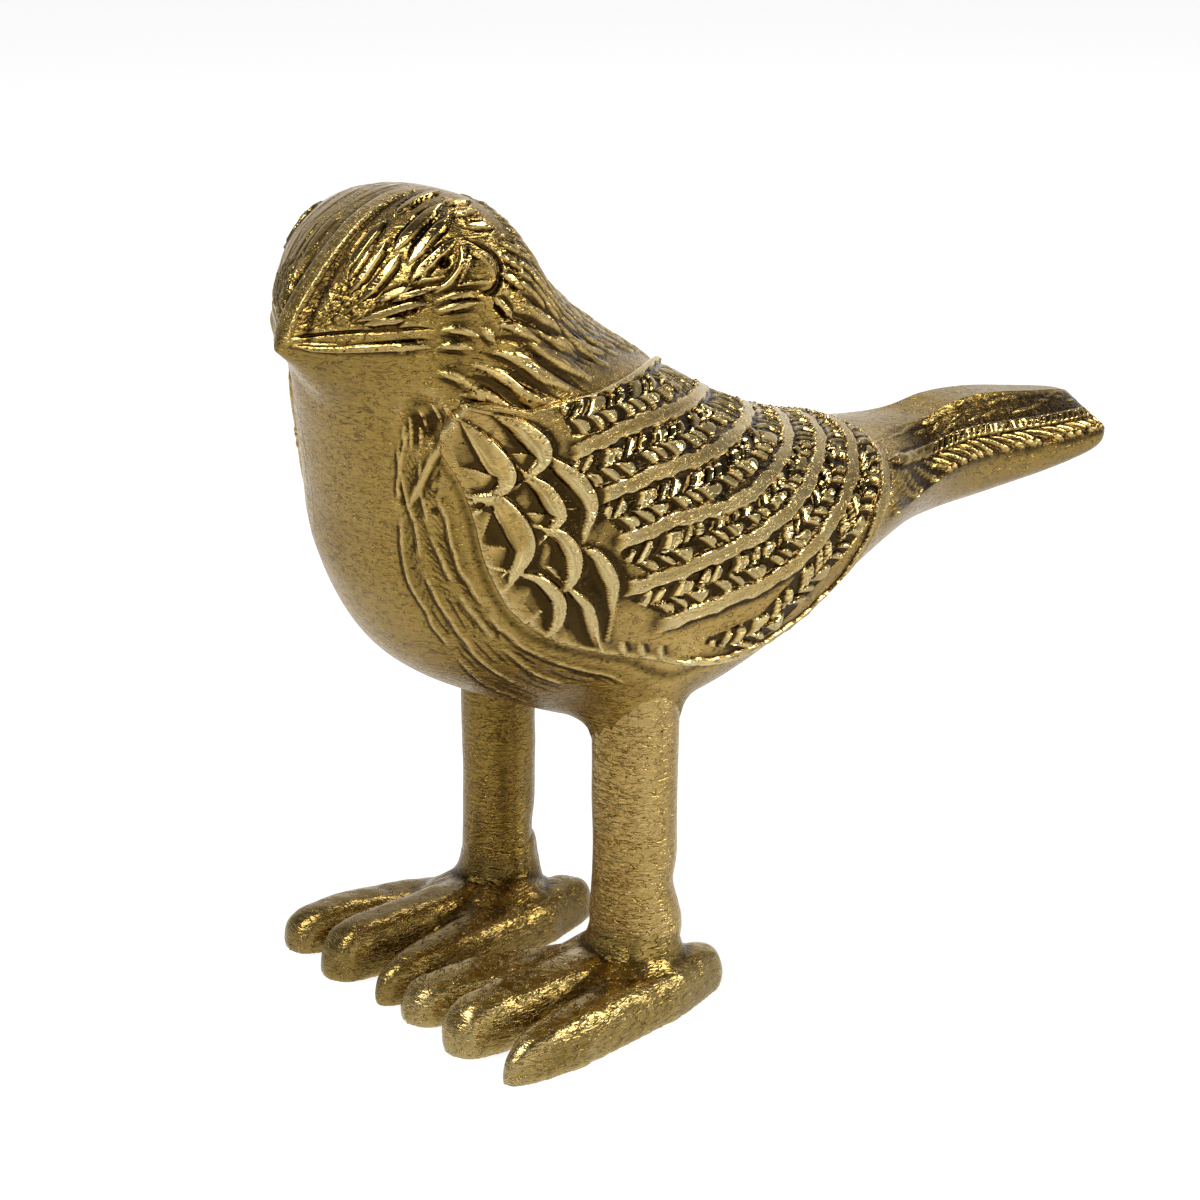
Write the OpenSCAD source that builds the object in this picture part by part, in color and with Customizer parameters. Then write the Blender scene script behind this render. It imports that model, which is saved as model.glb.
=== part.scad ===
// Cast brass bird ornament, standing on two legs.
// Millimetres. The beak points to -Y, the bird's left side is +X, the soles stand on Z = 0.

/* [Overall size] */
// Length from the tip of the beak to the end of the tail
bird_length = 208; // [180:1:240]
// Height of the crown above the soles
crown_height = 161; // [150:1:180]
// Height of the lowest point of the belly above the soles
belly_height = 53.5; // [46:0.5:60]
// Width of the body at its widest section
body_width = 72; // [66:1:84]

/* [Head] */
// Height of the ridge that runs from the beak over the crown
crest_height = 0.8; // [0.3:0.1:1.5]
// Depth of the groove between the jaws
mouth_depth = 0.8; // [0.3:0.1:1.2]

/* [Cast shell] */
// Wall of the two hollow halves
shell_wall = 4; // [3:0.5:5]
// Depth of the shallow dish that a wing is bedded in
wing_dish = 1.6; // [1:0.1:2]
// Diameter of the lugs inside the seam
lug_d = 10; // [8:0.5:12]
// Length of a seam lug, measured from the seam
lug_length = 8; // [6:0.5:10]

/* [Wings] */
// Height of a wing's lower rim above the flank
wing_rise = 1.4; // [1:0.1:2]
// Height of a wing's thin edge at the shoulder and along the back
wing_edge = 0.6; // [0.5:0.1:1]
// Height of the raised feather bands
band_height = 0.7; // [0.3:0.1:1.2]
// Height of the lips of the scales on the shoulder
scale_height = 0.8; // [0.3:0.1:1.2]
// Diameter of the two pegs behind a wing
peg_d = 4; // [3:0.5:5]
// Length of a wing peg below the skin of the body
peg_length = 8; // [6:0.5:10]

/* [Legs] */
// Distance between the centres of the legs
leg_spacing = 44; // [40:1:48]
// Distance from the middle of the length forward to the legs
leg_lead = 40; // [36:1:44]
// Diameter of the left leg
left_leg_d = 17; // [14:0.5:18]
// Diameter of the right leg, which is dressed a little slimmer
right_leg_d = 15.5; // [14:0.5:18]
// Drop of the joint between a leg and the body below the lowest point of the belly
hip_drop = 1.5; // [1:0.5:6]
// Height of the joint between a leg and its foot
ankle_height = 14; // [13:0.5:16]

/* [Feet] */
// Distance from the centre of a leg to the tip of its longest toe
toe_reach = 45; // [38:0.5:52]
// Distance from the centre of a leg to the end of its heel
heel_reach = 16; // [14:0.5:20]
// Spread of the outer toes to either side of the leg
toe_spread = 17; // [15:0.5:20]
// Width of a toe
toe_width = 12.5; // [10:0.5:14]
// Height of a toe
toe_height = 10; // [8:0.5:12]
// Distance that the toes of the right foot are set over to the left of their leg
right_toe_shift = 2.5; // [0:0.5:3]

/* [Fixings] */
// Diameter of the stud between a leg and the body
stud_d = 8; // [6:0.5:9]
// Length of the stud
stud_length = 28; // [20:1:30]
// Diameter of the screw that holds a foot to its leg
screw_d = 5; // [4:0.5:6]
// Diameter of that screw's countersunk head
screw_head_d = 9.5; // [8:0.5:10.5]
// Straight edge of that head below its cone
screw_head_land = 0.5; // [0.3:0.1:1]
// Length of that screw
screw_length = 24; // [20:1:28]
// Diameter of the dowels across the seam
dowel_d = 4; // [3:0.5:5]
// Length of a dowel
dowel_length = 12; // [8:0.5:14]
// Diameter of the tenon on the tail
tenon_d = 12; // [9:0.5:13]
// Length of that tenon
tenon_length = 16; // [12:0.5:20]
// Clearance of a fixing in its hole, on the radius
fit_gap = 0.1; // [0.05:0.05:0.2]
// Gap between a wing and the dish that it is bedded in
seat_gap = 0.3; // [0.2:0.05:0.4]

/* [Hidden] */

brass = "#B08D45";
dark_brass = "#9A7A38";
steel = "#8C9096";
round_steps = 48;
overrun = 1;
body_depth = crown_height - belly_height;
hip_height = belly_height - hip_drop;

// Sections of the bird from the beak to the end of the tail, each a slice that leans with the body.
// Columns: top Y, top Z, bottom Y, bottom Z, half width, height of the widest point,
// roundness of the lower half, roundness of the upper half. Y is a share of the length, Z a share
// of the depth from the belly to the crown, the half width a share of half the body's width.
section_shares = [
    [-0.500, 0.780, -0.500, 0.765, 0.02, 0.50, 2.0, 2.0],
    [-0.480, 0.835, -0.480, 0.730, 0.18, 0.52, 1.8, 2.0],
    [-0.450, 0.900, -0.465, 0.695, 0.42, 0.58, 1.8, 2.3],
    [-0.410, 0.965, -0.450, 0.660, 0.61, 0.62, 1.8, 2.5],
    [-0.360, 1.000, -0.445, 0.610, 0.77, 0.62, 1.9, 2.5],
    [-0.310, 0.977, -0.440, 0.545, 0.84, 0.56, 2.0, 2.4],
    [-0.260, 0.860, -0.435, 0.455, 0.90, 0.52, 2.0, 2.2],
    [-0.205, 0.772, -0.425, 0.325, 0.94, 0.48, 2.1, 2.1],
    [-0.140, 0.688, -0.380, 0.175, 0.99, 0.47, 2.1, 2.0],
    [-0.070, 0.595, -0.285, 0.070, 1.00, 0.48, 2.1, 2.0],
    [0.010, 0.515, -0.180, 0.000, 0.97, 0.50, 2.1, 2.0],
    [0.090, 0.460, -0.055, 0.045, 0.85, 0.53, 2.0, 2.0],
    [0.170, 0.430, 0.060, 0.135, 0.68, 0.57, 2.0, 2.0],
    [0.245, 0.416, 0.175, 0.195, 0.49, 0.58, 2.0, 1.9],
    [0.300, 0.432, 0.255, 0.215, 0.39, 0.54, 2.2, 1.7],
    [0.355, 0.430, 0.335, 0.227, 0.35, 0.50, 2.6, 1.5],
    [0.425, 0.410, 0.425, 0.245, 0.35, 0.48, 3.0, 1.4],
    [0.480, 0.392, 0.480, 0.265, 0.36, 0.48, 3.0, 1.5],
    [0.500, 0.374, 0.500, 0.285, 0.32, 0.48, 3.0, 1.8]
];

// Stations of the table where the cavity starts and ends, and where the tail joins and ends
cavity_stations = [3, 11];
tail_stations = [13, 18];
// The tail is planed: a flat strip on top, and a facet from each of its edges down to the side wall.
// Stations over which the planing sets in, and the angles where the facet and the strip start
plane_stations = [11.9, 13.2];
facet_angle = 90;
strip_angle = 157.5;
// Half width of the strip at a station, as a share of half the body's width
strip_shares = [[12, 0.19], [13, 0.17], [14.5, 0.12], [16, 0.085], [17.2, 0.03], [18, 0.01]];

// Outline of a wing along the stations, as angles round the section from the belly (0) to the
// back (180). The front edge climbs past 180, where the two wings meet along the back.
wing_low_angles = [
    [4.7, 57], [4.9, 51], [5.2, 49], [5.8, 53], [6.5, 55], [7.5, 54], [8.2, 57], [9, 62],
    [10, 68], [10.7, 71], [11.3, 84], [11.7, 108], [12, 136]
];
wing_top_angles = [
    [4.7, 61], [4.9, 67], [5.2, 74], [5.8, 88], [6.4, 108], [7.5, 142],
    [8.2, 163], [8.8, 180], [10, 220], [12, 240]
];
wing_stations = [4.7, 12];
// Angle and stations over which the dish reaches its full depth
dish_angle = 26;
dish_stations = 1.2;
// Stations over which a wing rises from its front edge and falls to its rear end
rise_stations = 1.6;
fall_stations = 3;
// Stations over which its bands and scales start and end
edge_stations = 0.5;
// Feather bands, each the station that it has reached at an angle
bands = [
    [[100, 6], [122, 6.8], [142, 7.5], [163, 8.2], [180, 8.73]],
    [[95, 6.7], [120, 7.45], [142, 8.35], [162, 9], [180, 9.5]],
    [[95, 7.35], [113, 7.95], [132, 8.8], [155, 9.55], [180, 10.17]],
    [[90, 7.85], [105, 8.4], [119, 9.2], [145, 10], [180, 10.7]],
    [[81, 8.2], [96, 8.85], [110, 9.5], [130, 10.2], [155, 10.8], [180, 11.14]],
    [[75, 8.8], [87, 9.3], [98, 9.9], [110, 10.45], [132, 11], [160, 11.4], [180, 11.5]],
    [[63, 9.2], [70, 9.95], [74, 10.7], [84, 11.2], [110, 11.5], [140, 11.75], [180, 11.85]]
];
// Profile of a band: share of its height, by stations behind the band's middle
band_profile_shares = [[-0.6, 0], [-0.14, 0.7], [-0.1, 1], [0.1, 1], [0.2, 0]];
// Angle over which a band starts
band_start_angle = 5;
// Scales, each the stations and angles of its lip from front to rear
scales = [
    [[5.01, 62], [5.73, 70], [6.18, 73], [6.27, 70], [6.21, 64]],
    [[6.06, 57], [6.32, 67], [6.8, 72], [7.09, 71], [7.27, 61]],
    [[5.37, 74], [5.79, 83], [6.25, 88], [6.43, 88], [6.4, 79]],
    [[6.28, 77], [6.75, 84], [7.11, 86], [7.09, 79]],
    [[6.33, 87], [7.01, 95], [7.37, 94], [7.49, 88]],
    [[7.03, 77], [7.28, 82], [7.54, 81], [7.68, 77], [7.71, 72]],
    [[7.55, 83], [7.77, 86], [8.1, 83], [8.31, 76]],
    [[7.21, 63], [7.44, 69], [7.75, 70], [7.91, 65], [8.01, 59]],
    [[7.73, 73], [8.09, 73], [8.51, 64]]
];
// Share of a lip's length over which it starts and ends
scale_start_share = 0.2;
// Profile of a scale's lip: share of its height, by stations to either side of its line
scale_profile_shares = [[0.05, 1], [0.26, 0]];
// Stations as long on the skin as one degree
angle_stations = 0.044;
// Angle on either side of the crown over which its ridge rises, and the station where it ends
crest_angle = 9;
crest_stations = 4.6;
// Angle of the groove between the jaws at the beak, the angle that it falls for each station,
// the angle on either side over which it fades, and the station where it ends
mouth_angle = 92;
mouth_slope = 5;
mouth_side_angle = 8;
mouth_stations = 3.6;
// Places of the two wing pegs, as a station and an angle
peg_angles = [[7.4, 92], [9.8, 98]];

// Grid of the meshes: rings for each station, and facets round half a section
rings = 3;
outer_facets = 24;
inner_facets = 16;
wing_rows = 56;
// Station that a share of a wing's rows reaches: they lie closer together among the scales
wing_row_stations = [[0, 4.7], [0.62, 8.5], [1, 12]];
wing_facets = 36;
// Facets of a wing's front that one facet of its back spans
wing_back_facets = 2;
tail_rings = 3;
toe_rings = 2;
toe_facets = 10;

// Toes of a foot, seen from above, from the tip of the toe to its heel end.
// Columns: X, Y, width, height, with X a share of the toe spread, Y a share of the toe reach in
// front of the leg or of the heel reach behind it, and the others shares of a toe's own size.
outer_toe_shares = [
    [0.85, -0.95, 0.15, 0.30], [0.85, -0.91, 0.60, 0.65], [0.84, -0.82, 0.80, 0.85],
    [0.76, -0.58, 0.95, 0.95], [0.60, -0.27, 1.05, 0.92], [0.42, 0.12, 1.05, 0.82],
    [0.27, 0.68, 0.90, 0.74], [0.18, 0.93, 0.55, 0.60], [0.15, 1.00, 0.15, 0.30]
];
middle_toe_shares = [
    [-0.09, -1.00, 0.15, 0.30], [-0.09, -0.96, 0.65, 0.70], [-0.08, -0.86, 0.92, 1.00],
    [-0.06, -0.62, 1.00, 1.10], [-0.03, -0.33, 1.10, 1.15], [0.00, -0.04, 1.10, 1.10]
];
inner_toe_shares = [
    [-1.02, -0.97, 0.15, 0.30], [-1.01, -0.93, 0.65, 0.60], [-0.96, -0.82, 0.90, 0.80],
    [-0.84, -0.58, 1.00, 0.88], [-0.62, -0.27, 1.08, 0.82], [-0.35, 0.00, 1.05, 0.76],
    [-0.20, 0.50, 0.90, 0.70], [-0.12, 0.75, 0.50, 0.55], [-0.09, 0.83, 0.15, 0.30]
];
// Roundness of a toe's section
toe_round_factor = 2.6;
// Outlines of a leg, of the foot's boss under it and of the body's boss above it, from the bottom
// up. Columns: a share of the leg's radius, a share of the piece's height.
leg_shares = [
    [1.05, 0.00], [1.00, 0.07], [0.96, 0.20], [0.98, 0.50], [0.96, 0.75], [0.98, 0.90], [1.02, 1.00]
];
ankle_shares = [[1.20, 0.00], [1.20, 0.60], [1.14, 0.80], [1.08, 1.00]];
boss_shares = [[1.04, 0.00], [1.10, 0.15], [1.16, 0.35], [1.12, 0.60], [0.95, 1.00]];
// Height of the hip boss above the end of the stud
boss_margin = 3;
// Depth of the screw head below the sole
screw_sink = 0.5;

// Places of the seam dowels, as a station and a height within the section
dowel_shares = [[2.2, 0.5], [9.6, 0.09], [9.6, 0.88], [12.2, 0.18]];
// Dowels that need a lug because the casting is hollow there
lug_dowels = [1, 2];

// Height within its section, and station, of the tail tenon's axis
tenon_share = 0.55;

// A row of a table, on a smooth curve through its rows
function row_at(table, u) =
    let (
        last = len(table) - 1,
        i = min(floor(u), last - 1),
        t = u - i,
        p1 = table[i],
        p2 = table[i + 1],
        p0 = i > 0 ? table[i - 1] : 2 * p1 - p2,
        p3 = i < last - 1 ? table[i + 2] : 2 * p2 - p1
    )
    (2 * p1 + (p2 - p0) * t + (2 * p0 - 5 * p1 + 4 * p2 - p3) * t * t
        + (3 * p1 - p0 - 3 * p2 + p3) * t * t * t) / 2;

// A section of the bird in millimetres
function section_at(u) =
    let (r = row_at(section_shares, u))
    [
        r[0] * bird_length, belly_height + r[1] * body_depth,
        r[2] * bird_length, belly_height + r[3] * body_depth,
        r[4] * body_width / 2, r[5], r[6], r[7],
        smooth01((u - plane_stations[0]) / (plane_stations[1] - plane_stations[0])),
        lookup(u, strip_shares) / r[4]
    ];

// A point in the middle plane of a section, at a share of its height
function spine_point(row, share) =
    [0, row[2] + (row[0] - row[2]) * share, row[3] + (row[1] - row[3]) * share];

// A point on a section, at an angle from its bottom, lifted off the skin
function skin_point(row, angle, lift) =
    let (
        span = norm([row[0] - row[2], row[1] - row[3]]),
        is_low = angle <= 90,
        power = 2 / (is_low ? row[6] : row[7]),
        round_out = pow(max(sin(angle), 0), power),
        round_rise = pow(abs(cos(angle)), power),
        planed = is_low ? 0 : row[8],
        slope = clamp01((angle - facet_angle) / (strip_angle - facet_angle)),
        on_strip = row[9] * (180 - angle) / (180 - strip_angle),
        flat_out = angle < strip_angle ? 1 - (1 - row[9]) * slope : on_strip,
        across = row[4] * (round_out + planed * (flat_out - round_out)),
        rise = round_rise + planed * (slope - round_rise),
        share = is_low ? row[5] * (1 - rise) : row[5] + (1 - row[5]) * rise,
        up = (share - row[5]) * span,
        stretch = 1 + lift / norm([across, up]),
        place = spine_point(row, row[5] + up * stretch / span)
    )
    [across * stretch, place[1], place[2]];

function clamp01(x) = max(0, min(1, x));
function smooth01(x) = clamp01(x) * clamp01(x) * (3 - 2 * clamp01(x));

// Height of a wing at a station and angle: full at the lower rim, thin at the shoulder, rump and back
function rise_at(u, angle) =
    let (
        low = lookup(u, wing_low_angles),
        up = (angle - low) / (180 - low),
        ahead = smooth01((u - wing_stations[0]) / rise_stations),
        behind = smooth01((wing_stations[1] - u) / fall_stations),
        within = smooth01(min(u - wing_stations[0], wing_stations[1] - u) / edge_stations),
        marks = max(band_at(u, angle), max([for (line = scales) scale_at(line, u, angle)]))
    )
    wing_edge + ahead * behind * (wing_rise - wing_edge) * (1 - up) + within * marks;

// Depth of the wing's dish at a station and angle: full inside the outline, nothing at its edge
function dish_at(u, angle) =
    let (
        below = (angle - lookup(u, wing_low_angles)) / dish_angle,
        above = (lookup(u, wing_top_angles) - angle) / dish_angle,
        ahead = (u - wing_stations[0]) / dish_stations,
        behind = (wing_stations[1] - u) / dish_stations
    )
    wing_dish * smooth01(min(below, above)) * smooth01(min(ahead, behind));

// Height of the crown's ridge, less the groove between the jaws, at a station and angle
function face_at(u, angle) =
    let (
        side = abs(angle - mouth_angle + mouth_slope * u),
        ridge = clamp01(1 - (180 - angle) / crest_angle) * smooth01(min(u, crest_stations - u)),
        groove = clamp01(1 - side / mouth_side_angle) * smooth01(min(u, mouth_stations - u))
    )
    crest_height * ridge - mouth_depth * groove;

// Height of the feather bands at a station and angle
function band_at(u, angle) = band_height * max([
    for (line = bands)
        lookup(u - lookup(angle, line), band_profile_shares)
            * smooth01((angle - line[0][0]) / band_start_angle)
]);

// Height of one scale's lip at a station and angle
function scale_at(line, u, angle) =
    let (
        last = len(line) - 2,
        spot = [u, angle * angle_stations],
        ends = [for (p = line) [p[0], p[1] * angle_stations]],
        steps = [for (i = [0 : last]) ends[i + 1] - ends[i]],
        along = [for (i = [0 : last]) clamp01((spot - ends[i]) * steps[i] / (steps[i] * steps[i]))],
        gaps = [for (i = [0 : last]) norm(spot - ends[i] - along[i] * steps[i])],
        near = [for (i = [0 : last]) if (gaps[i] == min(gaps)) i][0],
        share = (near + along[near]) / (last + 1)
    )
    scale_height * lookup(gaps[near], scale_profile_shares)
        * smooth01(share / scale_start_share) * smooth01((1 - share) / scale_start_share);

// Two triangles for the cell between four corners
function cell(a, b, c, d) = [[a, b, c], [a, c, d]];

// Triangles of a grid of rows x columns points, numbered from start
function grid_faces(rows, columns, start, flip) = [
    for (i = [0 : rows - 2], j = [0 : columns - 2])
        let (a = start + i * columns + j, b = a + columns)
        each flip ? cell(a, b, b + 1, a + 1) : cell(a, a + 1, b + 1, b)
];

// One hollow half of the body, from the beak to the tail joint, open along the seam
module half_body() {
    rows = tail_stations[0] * rings + 1;
    first = cavity_stations[0] * rings;
    last = cavity_stations[1] * rings;
    outer = outer_facets + 1;
    inner = inner_facets + 1;
    sections = [for (i = [0 : rows - 1]) section_at(i / rings)];
    outer_points = [
        for (i = [0 : rows - 1], j = [0 : outer_facets])
            let (angle = 180 * j / outer_facets)
            skin_point(sections[i], angle, face_at(i / rings, angle) - dish_at(i / rings, angle))
    ];
    inner_points = [
        for (i = [first : last], j = [0 : inner_facets])
            let (angle = 180 * j / inner_facets)
            skin_point(sections[i], angle, -shell_wall - dish_at(i / rings, angle))
    ];
    base = len(outer_points);
    inner_rows = last - first + 1;
    function at_skin(i, j) = i * outer + j;
    function at_core(i, j) = base + (i - first) * inner + j;
    polyhedron(
        points = concat(outer_points, inner_points),
        faces = concat(
            grid_faces(rows, outer, 0, false),
            grid_faces(inner_rows, inner, base, true),
            [
                [for (j = [outer_facets : -1 : 0]) at_skin(0, j)],
                [for (j = [0 : outer_facets]) at_skin(rows - 1, j)],
                [for (j = [0 : inner_facets]) at_core(first, j)],
                [for (j = [inner_facets : -1 : 0]) at_core(last, j)]
            ],
            [
                for (i = [0 : rows - 2]) if (i < first - 1 || i > last)
                    let (low = at_skin(i, 0), next = at_skin(i + 1, 0))
                    each cell(low, next, next + outer_facets, low + outer_facets)
            ],
            [
                [
                    at_skin(first - 1, 0), at_skin(first, 0),
                    at_core(first, 0), at_core(first, inner_facets),
                    at_skin(first, outer_facets), at_skin(first - 1, outer_facets)
                ],
                [
                    at_skin(last + 1, outer_facets), at_skin(last, outer_facets),
                    at_core(last, inner_facets), at_core(last, 0), at_skin(last, 0), at_skin(last + 1, 0)
                ]
            ],
            [
                for (i = [first : last - 1]) each concat(
                    cell(
                        at_core(i, inner_facets), at_core(i + 1, inner_facets),
                        at_skin(i + 1, outer_facets), at_skin(i, outer_facets)
                    ),
                    cell(at_skin(i, 0), at_skin(i + 1, 0), at_core(i + 1, 0), at_core(i, 0))
                )
            ]
        ),
        convexity = 6
    );
}

// Places its children where each wing peg meets the skin of the left side
module at_wing_pegs() {
    for (place = peg_angles)
        translate(skin_point(section_at(place[0]), place[1], 0)) rotate([0, -90, 0]) children();
}

// Places its children on the seam at the given dowels, along X
module at_dowels(chosen) {
    for (k = chosen)
        translate(spine_point(section_at(dowel_shares[k][0]), dowel_shares[k][1]))
            rotate([0, 90, 0]) children();
}

// Axis of the tail tenon, along Y, at the face where the tail joins the body
module at_tail_joint() {
    translate(spine_point(section_at(tail_stations[0]), tenon_share)) rotate([90, 0, 0]) children();
}

// Left half of the body with its seam lugs, hip boss and holes
module body_shell(leg_d) {
    difference() {
        union() {
            half_body();
            at_dowels(lug_dowels) cylinder(d = lug_d, h = lug_length, $fn = round_steps);
            at_leg(1) translate([0, 0, hip_height])
                round_post(boss_shares, leg_d / 2, stud_length / 2 + boss_margin);
        }
        at_leg(1) translate([0, 0, hip_height - overrun])
            cylinder(d = stud_d + 2 * fit_gap, h = stud_length / 2 + overrun + fit_gap, $fn = round_steps);
        at_dowels([for (k = [0 : len(dowel_shares) - 1]) k]) translate([0, 0, -overrun])
            cylinder(
                d = dowel_d + 2 * fit_gap, h = dowel_length / 2 + overrun + fit_gap, $fn = round_steps
            );
        at_wing_pegs() translate([0, 0, -wing_rise])
            cylinder(d = peg_d + 2 * fit_gap, h = peg_length + wing_rise + fit_gap, $fn = round_steps);
        at_tail_joint() translate([0, 0, -tenon_length])
            cylinder(d = tenon_d + 2 * fit_gap, h = 2 * tenon_length + fit_gap, $fn = round_steps);
    }
}

// Stations and angles of a grid over a wing, with a given number of columns up the flank
function wing_places(columns) = [
    for (i = [0 : wing_rows], j = [0 : columns])
        let (
            u = lookup(i / wing_rows, wing_row_stations),
            low = lookup(u, wing_low_angles),
            top = min(180, lookup(u, wing_top_angles))
        )
        [u, low + (top - low) * j / columns]
];

// Triangles that close one end of a wing, from row a of its front to row b of its back
function wing_end_faces(a, b, flip) = [
    for (j = [0 : wing_facets - 1])
        let (k = b + round(j / wing_back_facets), t = [a + j, a + j + 1, k])
        flip ? [t[2], t[1], t[0]] : t,
    for (k = [0 : wing_facets / wing_back_facets - 1])
        let (j = a + ceil((k + 0.5) * wing_back_facets), t = [j, b + k + 1, b + k])
        flip ? [t[2], t[1], t[0]] : t
];

// Wing casting of the left side, with its scales, feather bands and two pegs
module wing() {
    rows = wing_rows + 1;
    columns = wing_facets + 1;
    back_columns = wing_facets / wing_back_facets + 1;
    front = [for (p = wing_places(wing_facets)) skin_point(section_at(p[0]), p[1], rise_at(p[0], p[1]))];
    back = [
        for (p = wing_places(back_columns - 1))
            skin_point(section_at(p[0]), p[1], seat_gap - dish_at(p[0], p[1]))
    ];
    base = len(front);
    polyhedron(
        points = concat(front, back),
        faces = concat(
            grid_faces(rows, columns, 0, false),
            grid_faces(rows, back_columns, base, true),
            wing_end_faces(0, base, true),
            wing_end_faces(wing_rows * columns, base + wing_rows * back_columns, false),
            [
                for (i = [0 : rows - 2])
                    let (a = i * columns, b = base + i * back_columns)
                    each concat(
                        cell(a, a + columns, b + back_columns, b),
                        cell(
                            b + back_columns - 1, b + 2 * back_columns - 1,
                            a + columns + wing_facets, a + wing_facets
                        )
                    )
            ]
        ),
        convexity = 6
    );
    at_wing_pegs() translate([0, 0, -seat_gap])
        cylinder(d = peg_d, h = peg_length + seat_gap, $fn = round_steps);
}

// Solid tail from the joint to its square end, with the tenon that the halves clamp
module tail_casting() {
    rows = (tail_stations[1] - tail_stations[0]) * tail_rings + 1;
    around = 2 * outer_facets;
    points = [
        for (i = [0 : rows - 1], j = [0 : around - 1])
            let (
                row = section_at(tail_stations[0] + i / tail_rings),
                right = j > outer_facets,
                p = skin_point(row, 180 * (right ? around - j : j) / outer_facets, 0)
            )
            [right ? -p[0] : p[0], p[1], p[2]]
    ];
    last = (rows - 1) * around;
    polyhedron(
        points = points,
        faces = concat(
            [
                for (i = [0 : rows - 2], j = [0 : around - 1])
                    let (a = i * around + j, b = i * around + (j + 1) % around)
                    each cell(a, b, b + around, a + around)
            ],
            [[for (j = [around - 1 : -1 : 0]) j]],
            [[for (j = [0 : around - 1]) last + j]]
        ),
        convexity = 4
    );
    at_tail_joint() translate([0, 0, -tenon_length / 2])
        cylinder(d = tenon_d, h = tenon_length * 3 / 2, $fn = round_steps);
}

// Leg turned and dressed from bar, with a blind hole for the stud and one for the foot screw
module leg(leg_d) {
    screw_end = screw_sink + screw_length + fit_gap;
    difference() {
        translate([0, 0, ankle_height]) round_post(leg_shares, leg_d / 2, hip_height - ankle_height);
        translate([0, 0, hip_height - stud_length / 2 - fit_gap])
            cylinder(d = stud_d + 2 * fit_gap, h = stud_length / 2 + fit_gap + overrun, $fn = round_steps);
        translate([0, 0, ankle_height - overrun])
            cylinder(d = screw_d + 2 * fit_gap, h = screw_end - ankle_height + overrun, $fn = round_steps);
    }
}

// Turned post of a given radius and height, shaped by a table of shares of the two
module round_post(shares, radius, height) {
    rotate_extrude($fn = round_steps)
        polygon(concat([[0, 0]], [for (r = shares) [r[0] * radius, r[1] * height]], [[0, height]]));
}

// One toe: rings of a flat-bottomed section along a curve on the ground
module toe(shares) {
    steps = (len(shares) - 1) * toe_rings;
    columns = toe_facets + 1;
    path = [
        for (i = [0 : steps])
            let (r = row_at(shares, i / toe_rings))
            [
                r[0] * toe_spread, r[1] < 0 ? r[1] * toe_reach : r[1] * heel_reach,
                r[2] * toe_width, r[3] * toe_height
            ]
    ];
    points = [
        for (i = [0 : steps], j = [0 : toe_facets])
            let (
                ahead = path[min(i + 1, steps)],
                behind = path[max(i - 1, 0)],
                step = [ahead[0] - behind[0], ahead[1] - behind[1]],
                way = step / norm(step),
                angle = 180 * j / toe_facets,
                side = sign(cos(angle)) * pow(abs(cos(angle)), 2 / toe_round_factor) * path[i][2] / 2,
                up = pow(max(sin(angle), 0), 2 / toe_round_factor) * path[i][3]
            )
            [path[i][0] + way[1] * side, path[i][1] - way[0] * side, up]
    ];
    polyhedron(
        points = points,
        faces = concat(
            grid_faces(steps + 1, columns, 0, false),
            [
                for (i = [0 : steps - 1]) let (a = i * columns, b = a + columns)
                    each cell(b - 1, a, b, b + columns - 1)
            ],
            [[for (j = [toe_facets : -1 : 0]) j]],
            [[for (j = [0 : toe_facets]) steps * columns + j]]
        ),
        convexity = 4
    );
}

// Foot casting: three toes run back under a flared ankle boss, drilled and countersunk
module foot(leg_d, toe_shift) {
    difference() {
        resize([0, toe_reach + heel_reach, 0]) union() {
            translate([toe_shift, 0, 0]) {
                toe(outer_toe_shares);
                toe(middle_toe_shares);
                toe(inner_toe_shares);
            }
            round_post(ankle_shares, leg_d / 2, ankle_height);
        }
        screw_profile(fit_gap, -overrun, ankle_height + overrun);
    }
}

// Countersunk screw from its head to its end, or the hole for it, enlarged by a gap
module screw_profile(gap, start, end) {
    head = screw_head_d / 2 + gap;
    shank = screw_d / 2 + gap;
    land = screw_sink + screw_head_land;
    rotate_extrude($fn = round_steps)
        polygon([
            [0, start], [head, start], [head, land], [shank, land + head - shank], [shank, end], [0, end]
        ]);
}

module foot_screw() {
    screw_profile(0, screw_sink, screw_sink + screw_length);
}

module leg_stud() {
    translate([0, 0, hip_height - stud_length / 2])
        cylinder(d = stud_d, h = stud_length, $fn = round_steps);
}

// Places its children under the hip of one side
module at_leg(side) {
    translate([side * leg_spacing / 2, -leg_lead, 0]) children();
}

module left_body_shell() { color(brass) body_shell(left_leg_d); }
module right_body_shell() { color(brass) mirror([1, 0, 0]) body_shell(right_leg_d); }
module left_wing() { color(dark_brass) wing(); }
module right_wing() { color(dark_brass) mirror([1, 0, 0]) wing(); }
module tail() { color(brass) tail_casting(); }
module left_leg() { color(brass) at_leg(1) leg(left_leg_d); }
module right_leg() { color(brass) at_leg(-1) leg(right_leg_d); }
module left_foot() { color(dark_brass) at_leg(1) foot(left_leg_d, 0); }
module right_foot() { color(dark_brass) at_leg(-1) foot(right_leg_d, right_toe_shift); }
module left_leg_stud() { color(steel) at_leg(1) leg_stud(); }
module right_leg_stud() { color(steel) at_leg(-1) leg_stud(); }
module left_foot_screw() { color(steel) at_leg(1) foot_screw(); }
module right_foot_screw() { color(steel) at_leg(-1) foot_screw(); }
module seam_dowels() {
    color(steel) at_dowels([for (k = [0 : len(dowel_shares) - 1]) k])
        cylinder(d = dowel_d, h = dowel_length, center = true, $fn = round_steps);
}

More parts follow.
